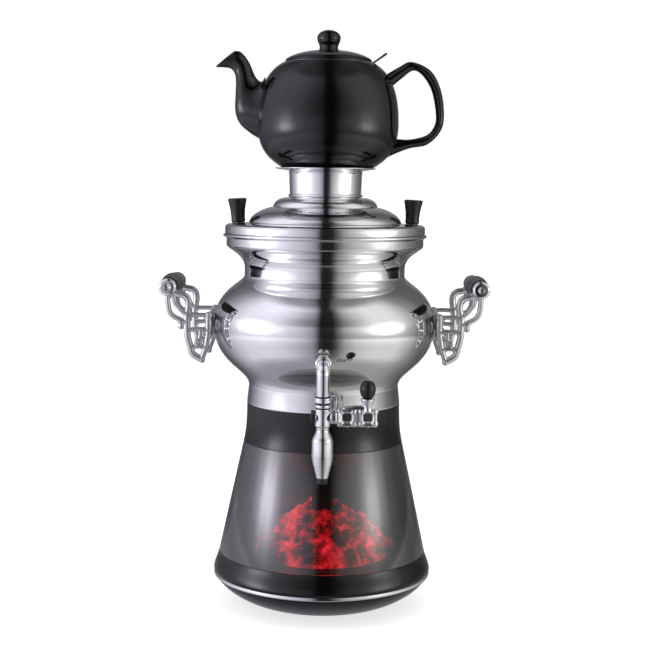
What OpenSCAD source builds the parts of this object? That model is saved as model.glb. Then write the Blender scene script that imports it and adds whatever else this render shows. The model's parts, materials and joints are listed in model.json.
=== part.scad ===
// Electric samovar: a chromed tank over a smoked window with an ember bed, a front tap,
// cast scroll handles, a lift-off lid and a teapot that stands on its crown.
// Millimetres. Z is up, the tap faces -Y, and the origin is on the table under the axis.

/* [Base] */
// Height of the rubber feet
foot_h = 3; // [2:0.5:5]
// Radius of a rubber foot
foot_r = 8; // [6:0.5:10]
// Distance from the axis to each foot
foot_reach = 58; // [50:1:60]
// Radius of the pan's flat floor
pan_floor_r = 70; // [69:1:80]
// Radius of the pan's rim
pan_rim_r = 117.6; // [115:0.2:118.4]
// Height of the pan
pan_h = 29.5; // [26:0.5:36]
// Wall of the pan
pan_wall = 2.5; // [1.5:0.1:3]
// Height of the bright trim ring
trim_h = 4.5; // [3:0.5:7]
// Radius of the bright trim ring
trim_r = 119.6; // [118.8:0.1:121]
// Height of the black base ring
ring_h = 22; // [20:0.5:28]
// Widest radius of the base ring
ring_r = 120; // [117:0.5:124]

/* [Window] */
// Height of the smoked cone
shade_h = 122.5; // [100:0.5:140]
// Outer radius of the cone at its foot
shade_low_r = 113.8; // [112:0.2:115]
// Outer radius of the cone at its top
shade_top_r = 87.3; // [85.5:0.1:91]
// Wall of the cone
shade_wall = 2.5; // [1.5:0.1:3]
// Height of the black collar above the cone
collar_h = 42; // [34:0.5:50]
// Wall of the collar
collar_wall = 3; // [2.5:0.1:4]
// Radius of the ember bed
bed_r = 75; // [60:1:85]
// Height of the ember heap
bed_h = 48; // [30:1:60]
// Number of coals on the bed
coals = 26; // [12:1:30]

/* [Tank] */
// Radius at the foot of the tank
tank_foot_r = 84; // [83:0.2:86]
// Radius of the waist above the foot
waist_r = 82.1; // [80:0.1:84]
// Largest radius of the belly
belly_r = 121; // [112:0.5:128]
// Radius of the throat under the rim
throat_r = 87.6; // [82:0.2:94]
// Radius of the rim band
rim_r = 107.5; // [104:0.5:110]
// How far the lip stands out from the rim band
lip_out = 3.5; // [2:0.5:6]
// Height of the waist above the tank's foot
waist_up = 19; // [16:0.5:24]
// Height of the belly's widest ring above the tank's foot
belly_up = 86; // [80:0.5:96]
// Height of the throat above the tank's foot
throat_up = 140; // [136:0.5:150]
// Height of the tank
tank_h = 185; // [181:0.5:200]
// Wall of the tank
tank_wall = 1.5; // [1:0.1:2]
// Radius of the heating element's ring
element_r = 55; // [45:1:60]

/* [Lid and crown] */
// Radius of the lid's edge
lid_r = 109; // [108:0.5:112]
// Radius of the foot of the lid's dome
dome_r = 83; // [78:0.5:86]
// Height of the lid
lid_h = 39.2; // [34:0.2:46]
// Thickness of the lid's sheet
lid_wall = 1.2; // [0.8:0.1:2]
// Height of a lid knob
lid_knob_h = 25.5; // [18:0.5:32]
// Radius of a lid knob at its top
lid_knob_r = 10.1; // [7:0.2:10.4]
// Radius of the crown's tube
crown_r = 38.8; // [34:0.2:40]
// Height of the crown
crown_h = 31.7; // [24:0.1:40]
// Radius of the crown's saucer
saucer_r = 54.7; // [52:0.1:60]

/* [Teapot] */
// How far the teapot stands to the right of the axis
teapot_x = 2; // [-3:0.5:3]
// Radius of the teapot's foot
pot_foot_r = 50; // [46:0.5:51]
// Largest radius of the teapot
pot_r = 76.4; // [72:0.2:80]
// Radius of the teapot's mouth rim
pot_mouth_r = 49.5; // [47:0.5:52]
// Height of the teapot to its mouth
pot_h = 112; // [108:0.5:118]
// Wall of the teapot
pot_wall = 4; // [3:0.1:4.5]
// Radius of the strainer's basket
basket_r = 30; // [24:0.5:34]
// Depth of the strainer's basket
basket_h = 58; // [45:1:68]
// Height of the teapot lid above its seat, with the knob
pot_lid_h = 34; // [30:0.5:40]

/* [Tap] */
// Distance from the tank's belly to the middle of the tap's pipe
tap_gap = 17; // [14:0.5:25]
// Height of the tap's inlet above the tank's foot
inlet_up = 57.4; // [52:0.2:62]
// Radius of the tap's pipe
pipe_r = 6.6; // [6:0.1:7]
// Radius of the waterway
water_r = 3.6; // [3:0.1:4]
// Distance from the inlet down to the plug
plug_drop = 51.4; // [46:0.2:58]
// Radius of the plug
plug_r = 4.8; // [4.4:0.1:5]
// Largest radius of the nozzle
nozzle_r = 10.9; // [9:0.1:13]
// Length of the key's openwork bar
key_len = 42; // [36:0.5:56]
// Height of the key's openwork bar
key_h = 18; // [16:0.5:24]

/* [Side handles] */
// Distance from the belly out to the grip's axis
grip_out = 45.5; // [40:0.5:54]
// Height of the grip's axis above the belly's widest ring
grip_up = 42.8; // [36:0.2:50]
// Largest radius of the grip
grip_r = 12; // [10:0.2:14]
// Length of the grip between its arms
grip_len = 80; // [70:1:100]
// Thickness of a cast arm
arm_t = 6.5; // [4:0.5:9]

/* [Fits] */
// Radial clearance of the plug in its barrel
run_gap = 0.05; // [0.02:0.01:0.1]
// Gap between pieces that lift apart
lift_gap = 0.3; // [0.2:0.05:0.4]
// Gap between fixed pieces on curved seats
seat_gap = 0.2; // [0.1:0.05:0.3]

/* [Hidden] */
$fn = 72;

// Heights of the stack, from the table up
z_pan = foot_h;
z_trim = z_pan + pan_h;
z_ring = z_trim + trim_h;
z_shade = z_ring + ring_h;
z_collar = z_shade + shade_h;
z_tank = z_collar + collar_h;
z_belly = z_tank + belly_up;
z_lip = z_tank + tank_h;
z_lid = z_lip + lift_gap;
z_crown = z_lid + lid_h + lift_gap;
z_pot = z_crown + crown_h + lift_gap;
z_mouth = z_pot + pot_h;

// Inner joints of the base
seat_depth = 6.5;
shade_lip_h = 6;
lip_step = 2.7;
deck_t = 2;
z_tray = z_shade - seat_depth;
tray_r = shade_low_r - lip_step - shade_wall - seat_gap;
ring_bore = tray_r - 3;
window_r = bed_r - 15;
post_r = 3;
post_ring = window_r + 4;
board_t = 1.6;
board_drop = 6;
board_r = post_ring + post_r + 1;
rod_r = 4;
tube_r = 12;
tube_wall = 2;
pocket_r = 20;
pocket_h = 12;
stem_r = 3;

// Rear power inlet
house_w = 60;
house_bevel = 4;
house_z = z_pan + 9;
house_top = z_ring + 9;
house_h = house_top - house_z;
house_mid = (house_z + house_top) / 2;
house_back = ring_r + 1.5;
house_front = ring_bore - 10;
socket_w = 25;
socket_h = 17;
socket_depth = 16;
socket_x = -10;
rocker_w = 12;
rocker_h = 18;
rocker_x = 17;
rocker_swing = 8;
rocker_pin_r = 1.5;
rocker_y = house_back - 5;

// Collar and tank floor
deck_up = 20;
z_deck = z_collar + deck_up;
collar_step = 3;
floor_up = waist_up - 2;
floor_t = 2;
floor_r = waist_r - tank_wall - seat_gap;
z_floor = z_tank + floor_up;
element_tube_r = 4.2;
element_up = 16;
z_element = z_floor + floor_t + element_up;
element_turn = 20;
ferrule_r = element_tube_r + 1.3;
boss_r = 10;
boss_h = 12;

// Tap
z_inlet = z_tank + inlet_up;
z_plug = z_inlet - plug_drop;
bend_r = 9;
spud_r = 9.5;
spud_face = belly_r + 0.5;
spud_in = belly_r - 18.5;
seal_t = 1.5;
flange_t = 2;
nut_low = 9.4;
nut_h = 12.2;
pipe_end = 15.5;
neck_low = -13;
spigot_r = 5;
tap_reach = belly_r + tap_gap;
spigot_h = 6;
barrel_r = 8;
barrel_left = 7.4;
barrel_right = 8.5;
hub_len = 4.4;
shank = 6;
key_t = 5;
key_hole = key_h / 2 + 0.4;
key_x = barrel_right + lift_gap + hub_len;
key_stem_x = key_x + 0.74 * key_len;
cup_h = 10.5;
key_knob_h = 20;
key_knob_r = 8;

// Side handles
arm_y = grip_len / 2;
bracket_x = belly_r + 0.6;
bracket_t = 4;
bracket_h = 26;
pad_r = 13;
stud_r = 2.5;
stud_pitch = 13;
tie_r = 3;
cap_len = 7.5;
cap_r = 9.7;

// Lid
brim_r = (lid_r + dome_r) / 2 - 1.3;
brim_up = 11.3;
knob_lean = 3;
knob_screw_r = 1.98;
skirt_r = rim_r - tank_wall - 1.4;
skirt_h = 10;
vent_r = 1.8;
lid_spigot_r = crown_r - 2.4;
lid_spigot_h = 4;

// Teapot
flange_thick = 0.8;
flange_r = 47.5;
z_flange = z_mouth + lift_gap;
z_pot_lid = z_flange + flange_thick + lift_gap;
pot_lid_r = 46.6;

// Curves and revolved walls
function bez(a, b, c, d, t) =
    pow(1 - t, 3) * a + 3 * t * pow(1 - t, 2) * b + 3 * t * t * (1 - t) * c + pow(t, 3) * d;
function curve(a, b, c, d, n) = [for (i = [0:n]) bez(a, b, c, d, i / n)];
function ogee(a, b, ha, hb, n) = curve(a, a + [0, ha], b - [0, hb], b, n);
function back(v) = [for (i = [len(v) - 1:-1:0]) v[i]];
function rest_of(v) = [for (i = [1:len(v) - 1]) v[i]];
function inset(p, w) = [for (i = [0:len(p) - 1])
    let (a = p[max(i - 1, 0)], b = p[min(i + 1, len(p) - 1)], t = (b - a) / norm(b - a))
    p[i] + w * [-t[1], t[0]]];
function level(p, q) = [for (i = [0:len(p) - 1])
    (i == 0 || i == len(p) - 1) ? [p[i][0], q[i][1]] : p[i]];
function wall(p, w) = concat(p, back(level(inset(p, w), p)));
function rimmed(p, z) = [for (i = [0:len(p) - 1]) i == len(p) - 1 ? [p[i][0], z] : p[i]];
module spin(p) rotate_extrude() polygon(p);
module tube(r_out, r_in, h) difference() {
    cylinder(r = r_out, h = h);
    translate([0, 0, -1]) cylinder(r = r_in, h = h + 2);
}
module along_x(x, y, z) translate([x, y, z]) rotate([0, 90, 0]) children();
module along_y(x, y, z) translate([x, y, z]) rotate([-90, 0, 0]) children();
module mirrored(s) if (s < 0) mirror([1, 0, 0]) children(); else children();

// Lofts through elliptical sections, each [outer x, outer z, inner x, inner z, half depth]
function blend(a, b, c, d, t) = 0.5 * (2 * b + (c - a) * t + (2 * a - 5 * b + 4 * c - d) * t * t
    + (3 * b - a - 3 * c + d) * t * t * t);
function smooth(s, n) = [for (i = [0:len(s) - 2], j = [0:n - 1])
    blend(s[max(i - 1, 0)], s[i], s[i + 1], s[min(i + 2, len(s) - 1)], j / n), s[len(s) - 1]];
function half_axis(s) = [s[0] - s[2], s[1] - s[3]] / 2;
function shrunk(s, w) = let (h = half_axis(s), k = w * h / norm(h))
    [s[0] - k[0], s[1] - k[1], s[2] + k[0], s[3] + k[1], s[4] - w];
function ring(s, m) = let (h = half_axis(s)) [for (j = [0:m - 1]) let (a = 360 * j / m)
    [(s[0] + s[2]) / 2 + h[0] * cos(a), s[4] * sin(a), (s[1] + s[3]) / 2 + h[1] * cos(a)]];
function skin(k, m, at, flip) = [for (i = [0:k - 2], j = [0:m - 1])
    let (a = at + i * m + j, b = at + i * m + (j + 1) % m, c = a + m, d = b + m)
    each flip ? [[a, c, b], [b, c, d]] : [[a, b, c], [b, d, c]]];
module loft(sections, n, m) {
    s = smooth(sections, n);
    k = len(s);
    polyhedron([for (v = s) each ring(v, m)], concat(skin(k, m, 0, false),
        [[for (j = [m - 1:-1:0]) j], [for (j = [0:m - 1]) (k - 1) * m + j]]));
}
module hollow_loft(sections, n, m, w) {
    s = smooth(sections, n);
    k = len(s);
    inner = k * m;
    lips = [for (j = [0:m - 1]) let (q = (j + 1) % m, e = (k - 1) * m)
        each [[j, inner + j, q], [q, inner + j, inner + q],
              [e + j, e + q, e + inner + j], [e + q, e + inner + q, e + inner + j]]];
    polyhedron([for (v = s) each ring(v, m), for (v = s) each ring(shrunk(v, w), m)],
        concat(skin(k, m, 0, false), skin(k, m, inner, true), lips));
}

// Outlines, from the bottom up
function pan_line() = curve([pan_floor_r, z_pan], [pan_floor_r + 18, z_pan + 3],
    [pan_rim_r - 5.6, z_trim - 12.5], [pan_rim_r, z_trim], 8);
function cone_slope() = (shade_low_r - shade_top_r) / shade_h;
function ring_line() = concat([[ring_r - 0.8, z_ring]],
    curve([ring_r, z_ring + 2.5], [ring_r - 1.1, z_ring + 8.5],
          [shade_low_r + 6.5 * cone_slope(), z_shade - 6.5], [shade_low_r, z_shade], 6));
function collar_line() = curve([shade_top_r, z_collar],
    [shade_top_r - 12 * cone_slope(), z_collar + 12], [tank_foot_r, z_tank - 18],
    [tank_foot_r, z_tank], 6);
function collar_at(z) = lookup(z, [for (p = collar_line()) [p[1], p[0]]]);
function bowl_line() = concat([[tank_foot_r, z_tank]],
    ogee([waist_r, z_tank + waist_up], [belly_r, z_belly], 18, 42, 10));
function shoulder_line() = ogee([belly_r, z_belly], [throat_r, z_tank + throat_up], 38, 8, 10);
function neck_line() = concat([[throat_r, z_tank + throat_up]],
    ogee([throat_r, z_tank + throat_up + 8], [rim_r, z_lip - 12], 15, 5, 8), [[rim_r, z_lip]]);
function tank_line() = concat(bowl_line(), rest_of(shoulder_line()), rest_of(neck_line()));
function pot_line() = concat(
    curve([pot_foot_r, z_pot], [pot_foot_r + 0.18 * pot_r, z_pot + 0.08 * pot_h],
          [pot_r, z_pot + 0.17 * pot_h], [pot_r, z_pot + 0.42 * pot_h], 8),
    rest_of(curve([pot_r, z_pot + 0.42 * pot_h], [pot_r, z_mouth - 0.3 * pot_h],
          [pot_mouth_r + 0.26 * pot_r, z_mouth - 0.1 * pot_h], [pot_mouth_r, z_mouth], 8)));
// A section of spout or handle, given in shares of the pot's radius, height and radius
function on_pot(side, s) = [side * s[0] * pot_r, z_pot + s[1] * pot_h, side * s[2] * pot_r,
    z_pot + s[3] * pot_h, s[4] * pot_r];

// ---------------------------------------------------------------- base

module rubber_feet() color("#1d1d1d")
    for (a = [45:90:315]) rotate(a) translate([foot_reach, 0, 0]) {
        cylinder(r1 = foot_r - 0.8, r2 = foot_r, h = foot_h);
        cylinder(r = stem_r, h = foot_h + pan_wall + 2);
    }

// The inlet's housing as a bevelled block between two depths, with a gap all round
module house_block(gap, y0, y1) translate([0, y1, house_mid]) rotate([90, 0, 0])
    linear_extrude(y1 - y0)
        let (w = house_w / 2 + gap, h = house_h / 2 + gap, c = house_bevel)
            polygon([[-w, c - h], [c - w, -h], [w - c, -h], [w, c - h], [w, h - c], [w - c, h],
                [c - w, h], [-w, h - c]]);
module inlet_envelope(gap) house_block(gap, house_front - 1, house_front + house_back);

module base_pan() color("#161616") difference() {
    spin(concat([[rod_r + seat_gap, z_pan + pocket_h - pan_wall], [pocket_r, z_pan + pocket_h - pan_wall],
        [pocket_r + 2, z_pan]], pan_line(), back(rimmed(inset(pan_line(), pan_wall), z_trim)),
        [[pocket_r + 2 + pan_wall, z_pan + pan_wall], [pocket_r + pan_wall, z_pan + pocket_h],
        [rod_r + seat_gap, z_pan + pocket_h]]));
    for (a = [45:90:315]) rotate(a) translate([foot_reach, 0, 0])
        cylinder(r = stem_r + 0.05, h = z_pan + 10);
    inlet_envelope(seat_gap);
}

module trim_ring() color("#d9dadb") difference() {
    spin([[ring_bore, z_trim], [trim_r - 1.4, z_trim], [trim_r, z_trim + trim_h / 3],
        [trim_r, z_trim + trim_h * 2 / 3], [trim_r - 0.8, z_ring], [ring_bore, z_ring]]);
    inlet_envelope(seat_gap);
}

module base_ring() color("#161616") difference() {
    spin(concat(ring_line(), [[shade_low_r - lip_step + seat_gap, z_shade],
        [shade_low_r - lip_step + seat_gap, z_tray], [ring_bore, z_tray], [ring_bore, z_ring]]));
    inlet_envelope(seat_gap);
}

module inlet_housing() color("#1b1b1b") difference() {
    union() {
        house_block(0, house_front, house_back - 1.5);
        house_block(-1.5, house_back - 2, house_back);
    }
    translate([socket_x - socket_w / 2 - 1.5, house_back - 1, house_mid - socket_h / 2 - 1.5])
        cube([socket_w + 3, 2, socket_h + 3]);
    translate([socket_x - socket_w / 2, house_back - socket_depth, house_mid - socket_h / 2])
        cube([socket_w, socket_depth + 1, socket_h]);
    translate([rocker_x - rocker_w / 2 - 0.3, house_back - 12, house_mid - rocker_h / 2 - 1.6])
        cube([rocker_w + 0.6, 13, rocker_h + 3.2]);
    along_x(rocker_x - rocker_w / 2 - 2, rocker_y, house_mid)
        cylinder(r = rocker_pin_r + run_gap, h = rocker_w + 4);
}

module inlet_pins() color("#c9b37a")
    for (p = [[-7, -2], [7, -2], [0, 3]])
        translate([socket_x + p[0] - 1, house_back - socket_depth, house_mid + p[1] - 2])
            cube([2, socket_depth - 6, 4]);

module power_switch() color("#8c1c16") translate([rocker_x, rocker_y, house_mid]) {
    rotate([rocker_swing, 0, 0]) rotate([90, 0, 90]) linear_extrude(rocker_w, center = true)
        polygon([[-5, -7], [2.6, -rocker_h / 2], [5.4, 0], [2.6, rocker_h / 2], [-5, 7]]);
    along_x(-rocker_w / 2 - 1.5, 0, 0) cylinder(r = rocker_pin_r, h = rocker_w + 3);
}

module ember_tray() color("#202020") {
    difference() {
        translate([0, 0, z_tray]) cylinder(r = tray_r, h = deck_t);
        translate([0, 0, z_tray - 1]) cylinder(r = window_r, h = deck_t + 2);
    }
    for (a = [90:120:330]) rotate(a) translate([post_ring, 0, z_tray - board_drop])
        cylinder(r = post_r, h = board_drop + 1);
}

module led_board() color("#2c5b36") translate([0, 0, z_tray - board_drop - board_t])
    tube(board_r, tube_r + 4, board_t);

module leds() color("#ff7a3c") for (i = [0:9]) rotate(36 * i)
    translate([window_r * 0.7, 0, z_tray - board_drop]) {
        cylinder(r = 2.5, h = 2.5);
        translate([0, 0, 2.5]) intersection() {
            sphere(r = 2.5);
            cylinder(r = 3, h = 3);
        }
    }

// The heap falls away from its top as the radius grows
function heap(r) = bed_h * (1 - pow(r / bed_r, 1.3));
module ember_bed() color("#e2401f") difference() {
    union() {
        translate([0, 0, z_tray + deck_t]) spin(concat([[tube_r, 0], [bed_r, 0], [bed_r, 3]],
            [for (k = [0.9:-0.15:0.3]) [bed_r * k, 3 + heap(bed_r * k)]],
            [[tube_r, 3 + heap(tube_r)]]));
        for (i = [0:coals - 1]) let (r = (bed_r - 9) * sqrt((i + 1.6) / (coals + 1)))
            rotate(137.5 * i) translate([r, 0, z_tray + deck_t + heap(r) + 2])
                rotate([67 * i, 41 * i, 0]) sphere(r = 9.5 + 2.5 * sin(100 * i), $fn = 6);
    }
    translate([0, 0, z_tray]) cylinder(r = tube_r + 0.5, h = bed_h * 3);
    translate([0, 0, z_tray - bed_h]) cylinder(r = bed_r * 2, h = bed_h + deck_t);
}

// ---------------------------------------------------------------- window

module smoked_shade() color("#3a3a3e", 0.55) spin([
    [shade_low_r - lip_step, z_shade - shade_lip_h], [shade_low_r - lip_step, z_shade],
    [shade_low_r, z_shade], [shade_top_r, z_collar], [shade_top_r - collar_step, z_collar],
    [shade_top_r - collar_step - 1.6, z_collar + shade_lip_h],
    [shade_top_r - collar_step - shade_wall - 1.6, z_collar + shade_lip_h],
    [shade_top_r - collar_step - shade_wall + 0.5, z_collar - 4],
    [shade_low_r - lip_step - shade_wall, z_shade - shade_lip_h + 1],
    [shade_low_r - lip_step - shade_wall, z_shade - shade_lip_h]]);

module upper_collar() color("#161616") difference() {
    union() {
        spin(wall(collar_line(), collar_wall - seat_gap));
        translate([0, 0, z_deck]) cylinder(r = collar_at(z_deck) - collar_wall + 0.8, h = deck_t);
        translate([0, 0, z_tank - 3]) tube(tank_foot_r - collar_wall + 1, floor_r - 4, 3);
    }
    translate([0, 0, z_deck - 1]) cylinder(r = rod_r + seat_gap, h = deck_t + 2);
}

module support_tube() color("#101010") translate([0, 0, z_pan + pocket_h])
    tube(tube_r, tube_r - tube_wall, z_deck - z_pan - pocket_h);

module clamp_rod() color("#9a9a9a") translate([0, 0, z_pan + 2])
    cylinder(r = rod_r, h = z_floor - boss_h + 9 - z_pan - 2);

module clamp_nut() color("#8d8d8d") translate([0, 0, z_pan + 2.5]) {
    difference() {
        union() {
            cylinder(r = 7.5, h = 5.5, $fn = 6);
            translate([0, 0, 5.5]) cylinder(r = 10, h = 1.5);
        }
        translate([0, 0, -1]) cylinder(r = rod_r + 0.02, h = 9, $fn = 72);
    }
}

// ---------------------------------------------------------------- tank

module spud() along_y(0, -spud_face, z_inlet) cylinder(r = spud_r, h = spud_face - spud_in);

module stud_places() for (s = [-1, 1], u = [-1, 1]) translate([0, 0, z_belly + u * stud_pitch / 2])
    mirrored(s) children();

// The tank is three pressings, seamed round the belly and below the neck
module stud_holes() stud_places() along_x(belly_r - 12, 0, 0)
    cylinder(r = stud_r + 0.05, h = 20);
module tank_body() color("#d4d6d8") difference() {
    union() {
        spin(wall(bowl_line(), tank_wall));
        spud();
    }
    along_y(0, -spud_face - 1, z_inlet) cylinder(r = pipe_r + 0.05, h = 30);
    stud_holes();
}

module tank_shoulder() color("#d4d6d8") difference() {
    spin(wall(shoulder_line(), tank_wall));
    stud_holes();
}

module tank_neck() color("#d4d6d8") {
    spin(wall(neck_line(), tank_wall));
    spin([[rim_r - 1, z_lip - 4], [rim_r + lip_out - 1, z_lip - 3], [rim_r + lip_out, z_lip - 2],
        [rim_r + lip_out, z_lip - 1], [rim_r + lip_out - 1, z_lip], [rim_r - 1, z_lip]]);
}

module tank_floor() color("#b9bbbd") difference() {
    union() {
        spin([[0, z_floor], [floor_r - 2, z_floor], [floor_r - 2, z_tank], [floor_r, z_tank],
            [floor_r, z_floor + floor_t], [0, z_floor + floor_t]]);
        translate([0, 0, z_floor - boss_h]) cylinder(r = boss_r, h = boss_h + 1);
    }
    translate([0, 0, z_floor - boss_h - 1]) cylinder(r = rod_r + 0.02, h = 10.5);
    element_legs() translate([0, 0, -5]) cylinder(r = element_tube_r + 0.05, h = 12);
}

// Two places on the element's ring where its legs pass through the floor
module element_legs() for (s = [-1, 1])
    rotate(s * element_turn) translate([element_r, 0, z_floor]) children();

module heating_element() color("#7d7f82") {
    translate([0, 0, z_element]) rotate(element_turn)
        rotate_extrude(angle = 360 - 2 * element_turn) translate([element_r, 0])
            circle(r = element_tube_r);
    element_legs() {
        translate([0, 0, -14]) cylinder(r = element_tube_r, h = z_element - z_floor + 14);
        translate([0, 0, z_element - z_floor - ferrule_r])
            cylinder(r = ferrule_r, h = 2 * ferrule_r);
    }
}

module element_nuts() color("#c2a35a") element_legs() translate([0, 0, -6]) difference() {
    cylinder(r = 8, h = 6, $fn = 6);
    translate([0, 0, -1]) cylinder(r = element_tube_r + 0.05, h = 8, $fn = 72);
}

module element_seals() color("#a33a2a") element_legs() translate([0, 0, floor_t])
    tube(8, element_tube_r + 0.05, 2);

module thermostat() color("#c8c8c0") translate([-34, 0, z_floor - 7]) {
    cylinder(r = 12, h = 7);
    translate([0, 0, -5]) cylinder(r = 7, h = 5);
}

module thermal_cutout() color("#d8d2c0") translate([0, 36, z_floor - 6]) {
    cylinder(r = 9, h = 6);
    translate([0, 0, -4]) cylinder(r = 5, h = 4);
}

// ---------------------------------------------------------------- tap

module at_tap() translate([0, -tap_reach, z_plug]) children();

module tap_inlet_seal() color("#a33a2a") along_y(0, -spud_face - seal_t, z_inlet)
    tube(spud_r - 0.5, pipe_r + 0.05, seal_t);

module tap_locknut() color("#c2a35a") along_y(0, -spud_in, z_inlet) difference() {
    cylinder(r = 10.5, h = 4, $fn = 6);
    translate([0, 0, -1]) cylinder(r = pipe_r + 0.05, h = 6, $fn = 72);
}

module tap_elbow() color("#d4d6d8") {
    flange_y = spud_face + seal_t;
    difference() {
        union() {
            along_y(0, -tap_reach + bend_r, z_inlet)
                cylinder(r = pipe_r, h = tap_reach - bend_r - spud_in + 5);
            along_y(0, -flange_y - flange_t, z_inlet) cylinder(r = spud_r - 0.5, h = flange_t);
            translate([0, -tap_reach + bend_r, z_inlet - bend_r]) rotate([90, 0, -90])
                rotate_extrude(angle = 90) translate([bend_r, 0]) circle(r = pipe_r);
            translate([0, -tap_reach, z_plug + pipe_end])
                cylinder(r = pipe_r, h = plug_drop - pipe_end - bend_r);
        }
        along_y(0, -tap_reach + bend_r, z_inlet)
            cylinder(r = water_r, h = tap_reach - bend_r - spud_in + 6);
        translate([0, -tap_reach + bend_r, z_inlet - bend_r]) rotate([90, 0, -90])
            rotate_extrude(angle = 90) translate([bend_r, 0]) circle(r = water_r);
        translate([0, -tap_reach, z_plug + pipe_end - 1])
            cylinder(r = water_r, h = plug_drop - pipe_end - bend_r + 1);
    }
}

module tap_union_nut() color("#d4d6d8") at_tap() translate([0, 0, nut_low]) difference() {
    cylinder(r = 8.7, h = nut_h, $fn = 6);
    translate([0, 0, -1]) cylinder(r = pipe_r + 0.05, h = nut_h + 2, $fn = 72);
}

module tap_valve_body() color("#d4d6d8") at_tap() difference() {
    union() {
        translate([0, 0, neck_low]) cylinder(r = pipe_r, h = pipe_end - neck_low);
        translate([0, 0, neck_low - spigot_h]) cylinder(r = spigot_r, h = spigot_h);
        along_x(-barrel_left, 0, 0) cylinder(r = barrel_r, h = barrel_left + barrel_right);
    }
    translate([0, 0, neck_low - spigot_h - 1]) cylinder(r = water_r, h = 60);
    along_x(-barrel_left - 1, 0, 0) cylinder(r = plug_r + run_gap, h = 30);
}

module tap_nozzle() color("#d4d6d8") at_tap() difference() {
    rotate_extrude() polygon(concat([[0, neck_low]], [[pipe_r, neck_low]],
        rest_of(ogee([pipe_r, neck_low], [nozzle_r, neck_low - 12], -3, -5, 5)),
        [[nozzle_r, neck_low - 25]],
        rest_of(curve([nozzle_r, neck_low - 25], [nozzle_r, neck_low - 32],
            [pipe_r + 1, neck_low - 41], [pipe_r - 0.6, neck_low - 49], 5)),
        [[0, neck_low - 49]]));
    translate([0, 0, neck_low - 70]) cylinder(r = water_r, h = 80);
    translate([0, 0, neck_low - spigot_h]) cylinder(r = spigot_r + 0.05, h = spigot_h + 1);
}

module nozzle_tip() color("#141414") at_tap() translate([0, 0, neck_low - 55])
    tube(pipe_r - 1, water_r, 6);

module tap_plug() color("#b08d4a") at_tap() difference() {
    union() {
        along_x(-barrel_left - 4.5, 0, 0)
            cylinder(r = plug_r, h = barrel_left + barrel_right + lift_gap + 4.5);
        translate([barrel_right, -shank / 2, -shank / 2]) cube([hub_len + 4, shank, shank]);
    }
    along_y(0, -plug_r - 1, 0) cylinder(r = water_r - 0.4, h = 2 * plug_r + 2);
}

module plug_spring_washer() color("#8f9092") at_tap()
    along_x(-barrel_left - lift_gap - 1, 0, 0) tube(6.8, plug_r + 0.05, 1);

module plug_nut() color("#8f9092") at_tap()
    along_x(-barrel_left - lift_gap - 4, 0, 0) difference() {
        cylinder(r = 7.2, h = 3, $fn = 6);
        translate([0, 0, -1]) cylinder(r = plug_r + 0.02, h = 5, $fn = 72);
    }

// Openwork bar: two square windows in a scalloped outline
module key_outline() {
    cell = key_len / 2;
    half = key_h / 2;
    for (i = [0, 1]) translate([cell * (i + 0.5), 0]) {
        square([cell - 4, key_h - 4.5], center = true);
        square([cell - 7, key_h - 1.5], center = true);
        for (sx = [-1, 1], sy = [-1, 1])
            translate([sx * (cell / 2 - 3.9), sy * (half - 3.6)]) circle(r = 3.6);
    }
    translate([cell, 0]) square([6, key_h - 5.4], center = true);
    translate([-1, 0]) square([6, 10], center = true);
}
module tap_key() color("#d4d6d8") at_tap() difference() {
    union() {
        along_x(barrel_right + lift_gap, 0, 0) cylinder(r = 6.6, h = hub_len);
        translate([key_x, key_t / 2, 0]) rotate([90, 0, 0]) linear_extrude(key_t) difference() {
            key_outline();
            for (i = [0, 1]) translate([key_len * (i + 0.5) / 2, 0]) {
                square([key_hole, key_hole - 1.2], center = true);
                square([key_hole - 1.2, key_hole], center = true);
            }
        }
        translate([key_stem_x, 0, key_h / 2 - 1.2])
            spin([[0, 0], [2.8, 0], [2.8, 3], [6.2, cup_h], [0, cup_h]]);
    }
    translate([barrel_right - 1, -shank / 2 - 0.02, -shank / 2 - 0.02])
        cube([hub_len + 5.1, shank + 0.04, shank + 0.04]);
    translate([key_stem_x, 0, key_h / 2 + 1]) cylinder(r = 1.5, h = 20);
}

module tap_key_knob() color("#121212") at_tap()
    translate([key_stem_x, 0, key_h / 2 - 1.2 + cup_h]) {
        spin(concat([[0, 0]], [for (a = [-68:17:85])
            [key_knob_r * cos(a), key_knob_h / 2 * (1 + sin(a))]], [[0, key_knob_h]]));
        translate([0, 0, -6]) cylinder(r = 1.45, h = 8);
    }

// ---------------------------------------------------------------- side handles

// A bent bar of a casting, with a slight boss at each end and bend
module strokes(p, w) {
    for (q = p) translate(q) circle(d = 1.08 * w);
    for (i = [0:len(p) - 2]) let (d = p[i + 1] - p[i])
        translate(p[i]) rotate(atan2(d[1], d[0])) translate([0, -w / 2]) square([norm(d), w]);
}
module stroke(a, b, w) strokes([a, b], w);
module eye(at, r, w) translate(at) difference() {
    circle(r = r + w);
    circle(r = r);
}

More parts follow.
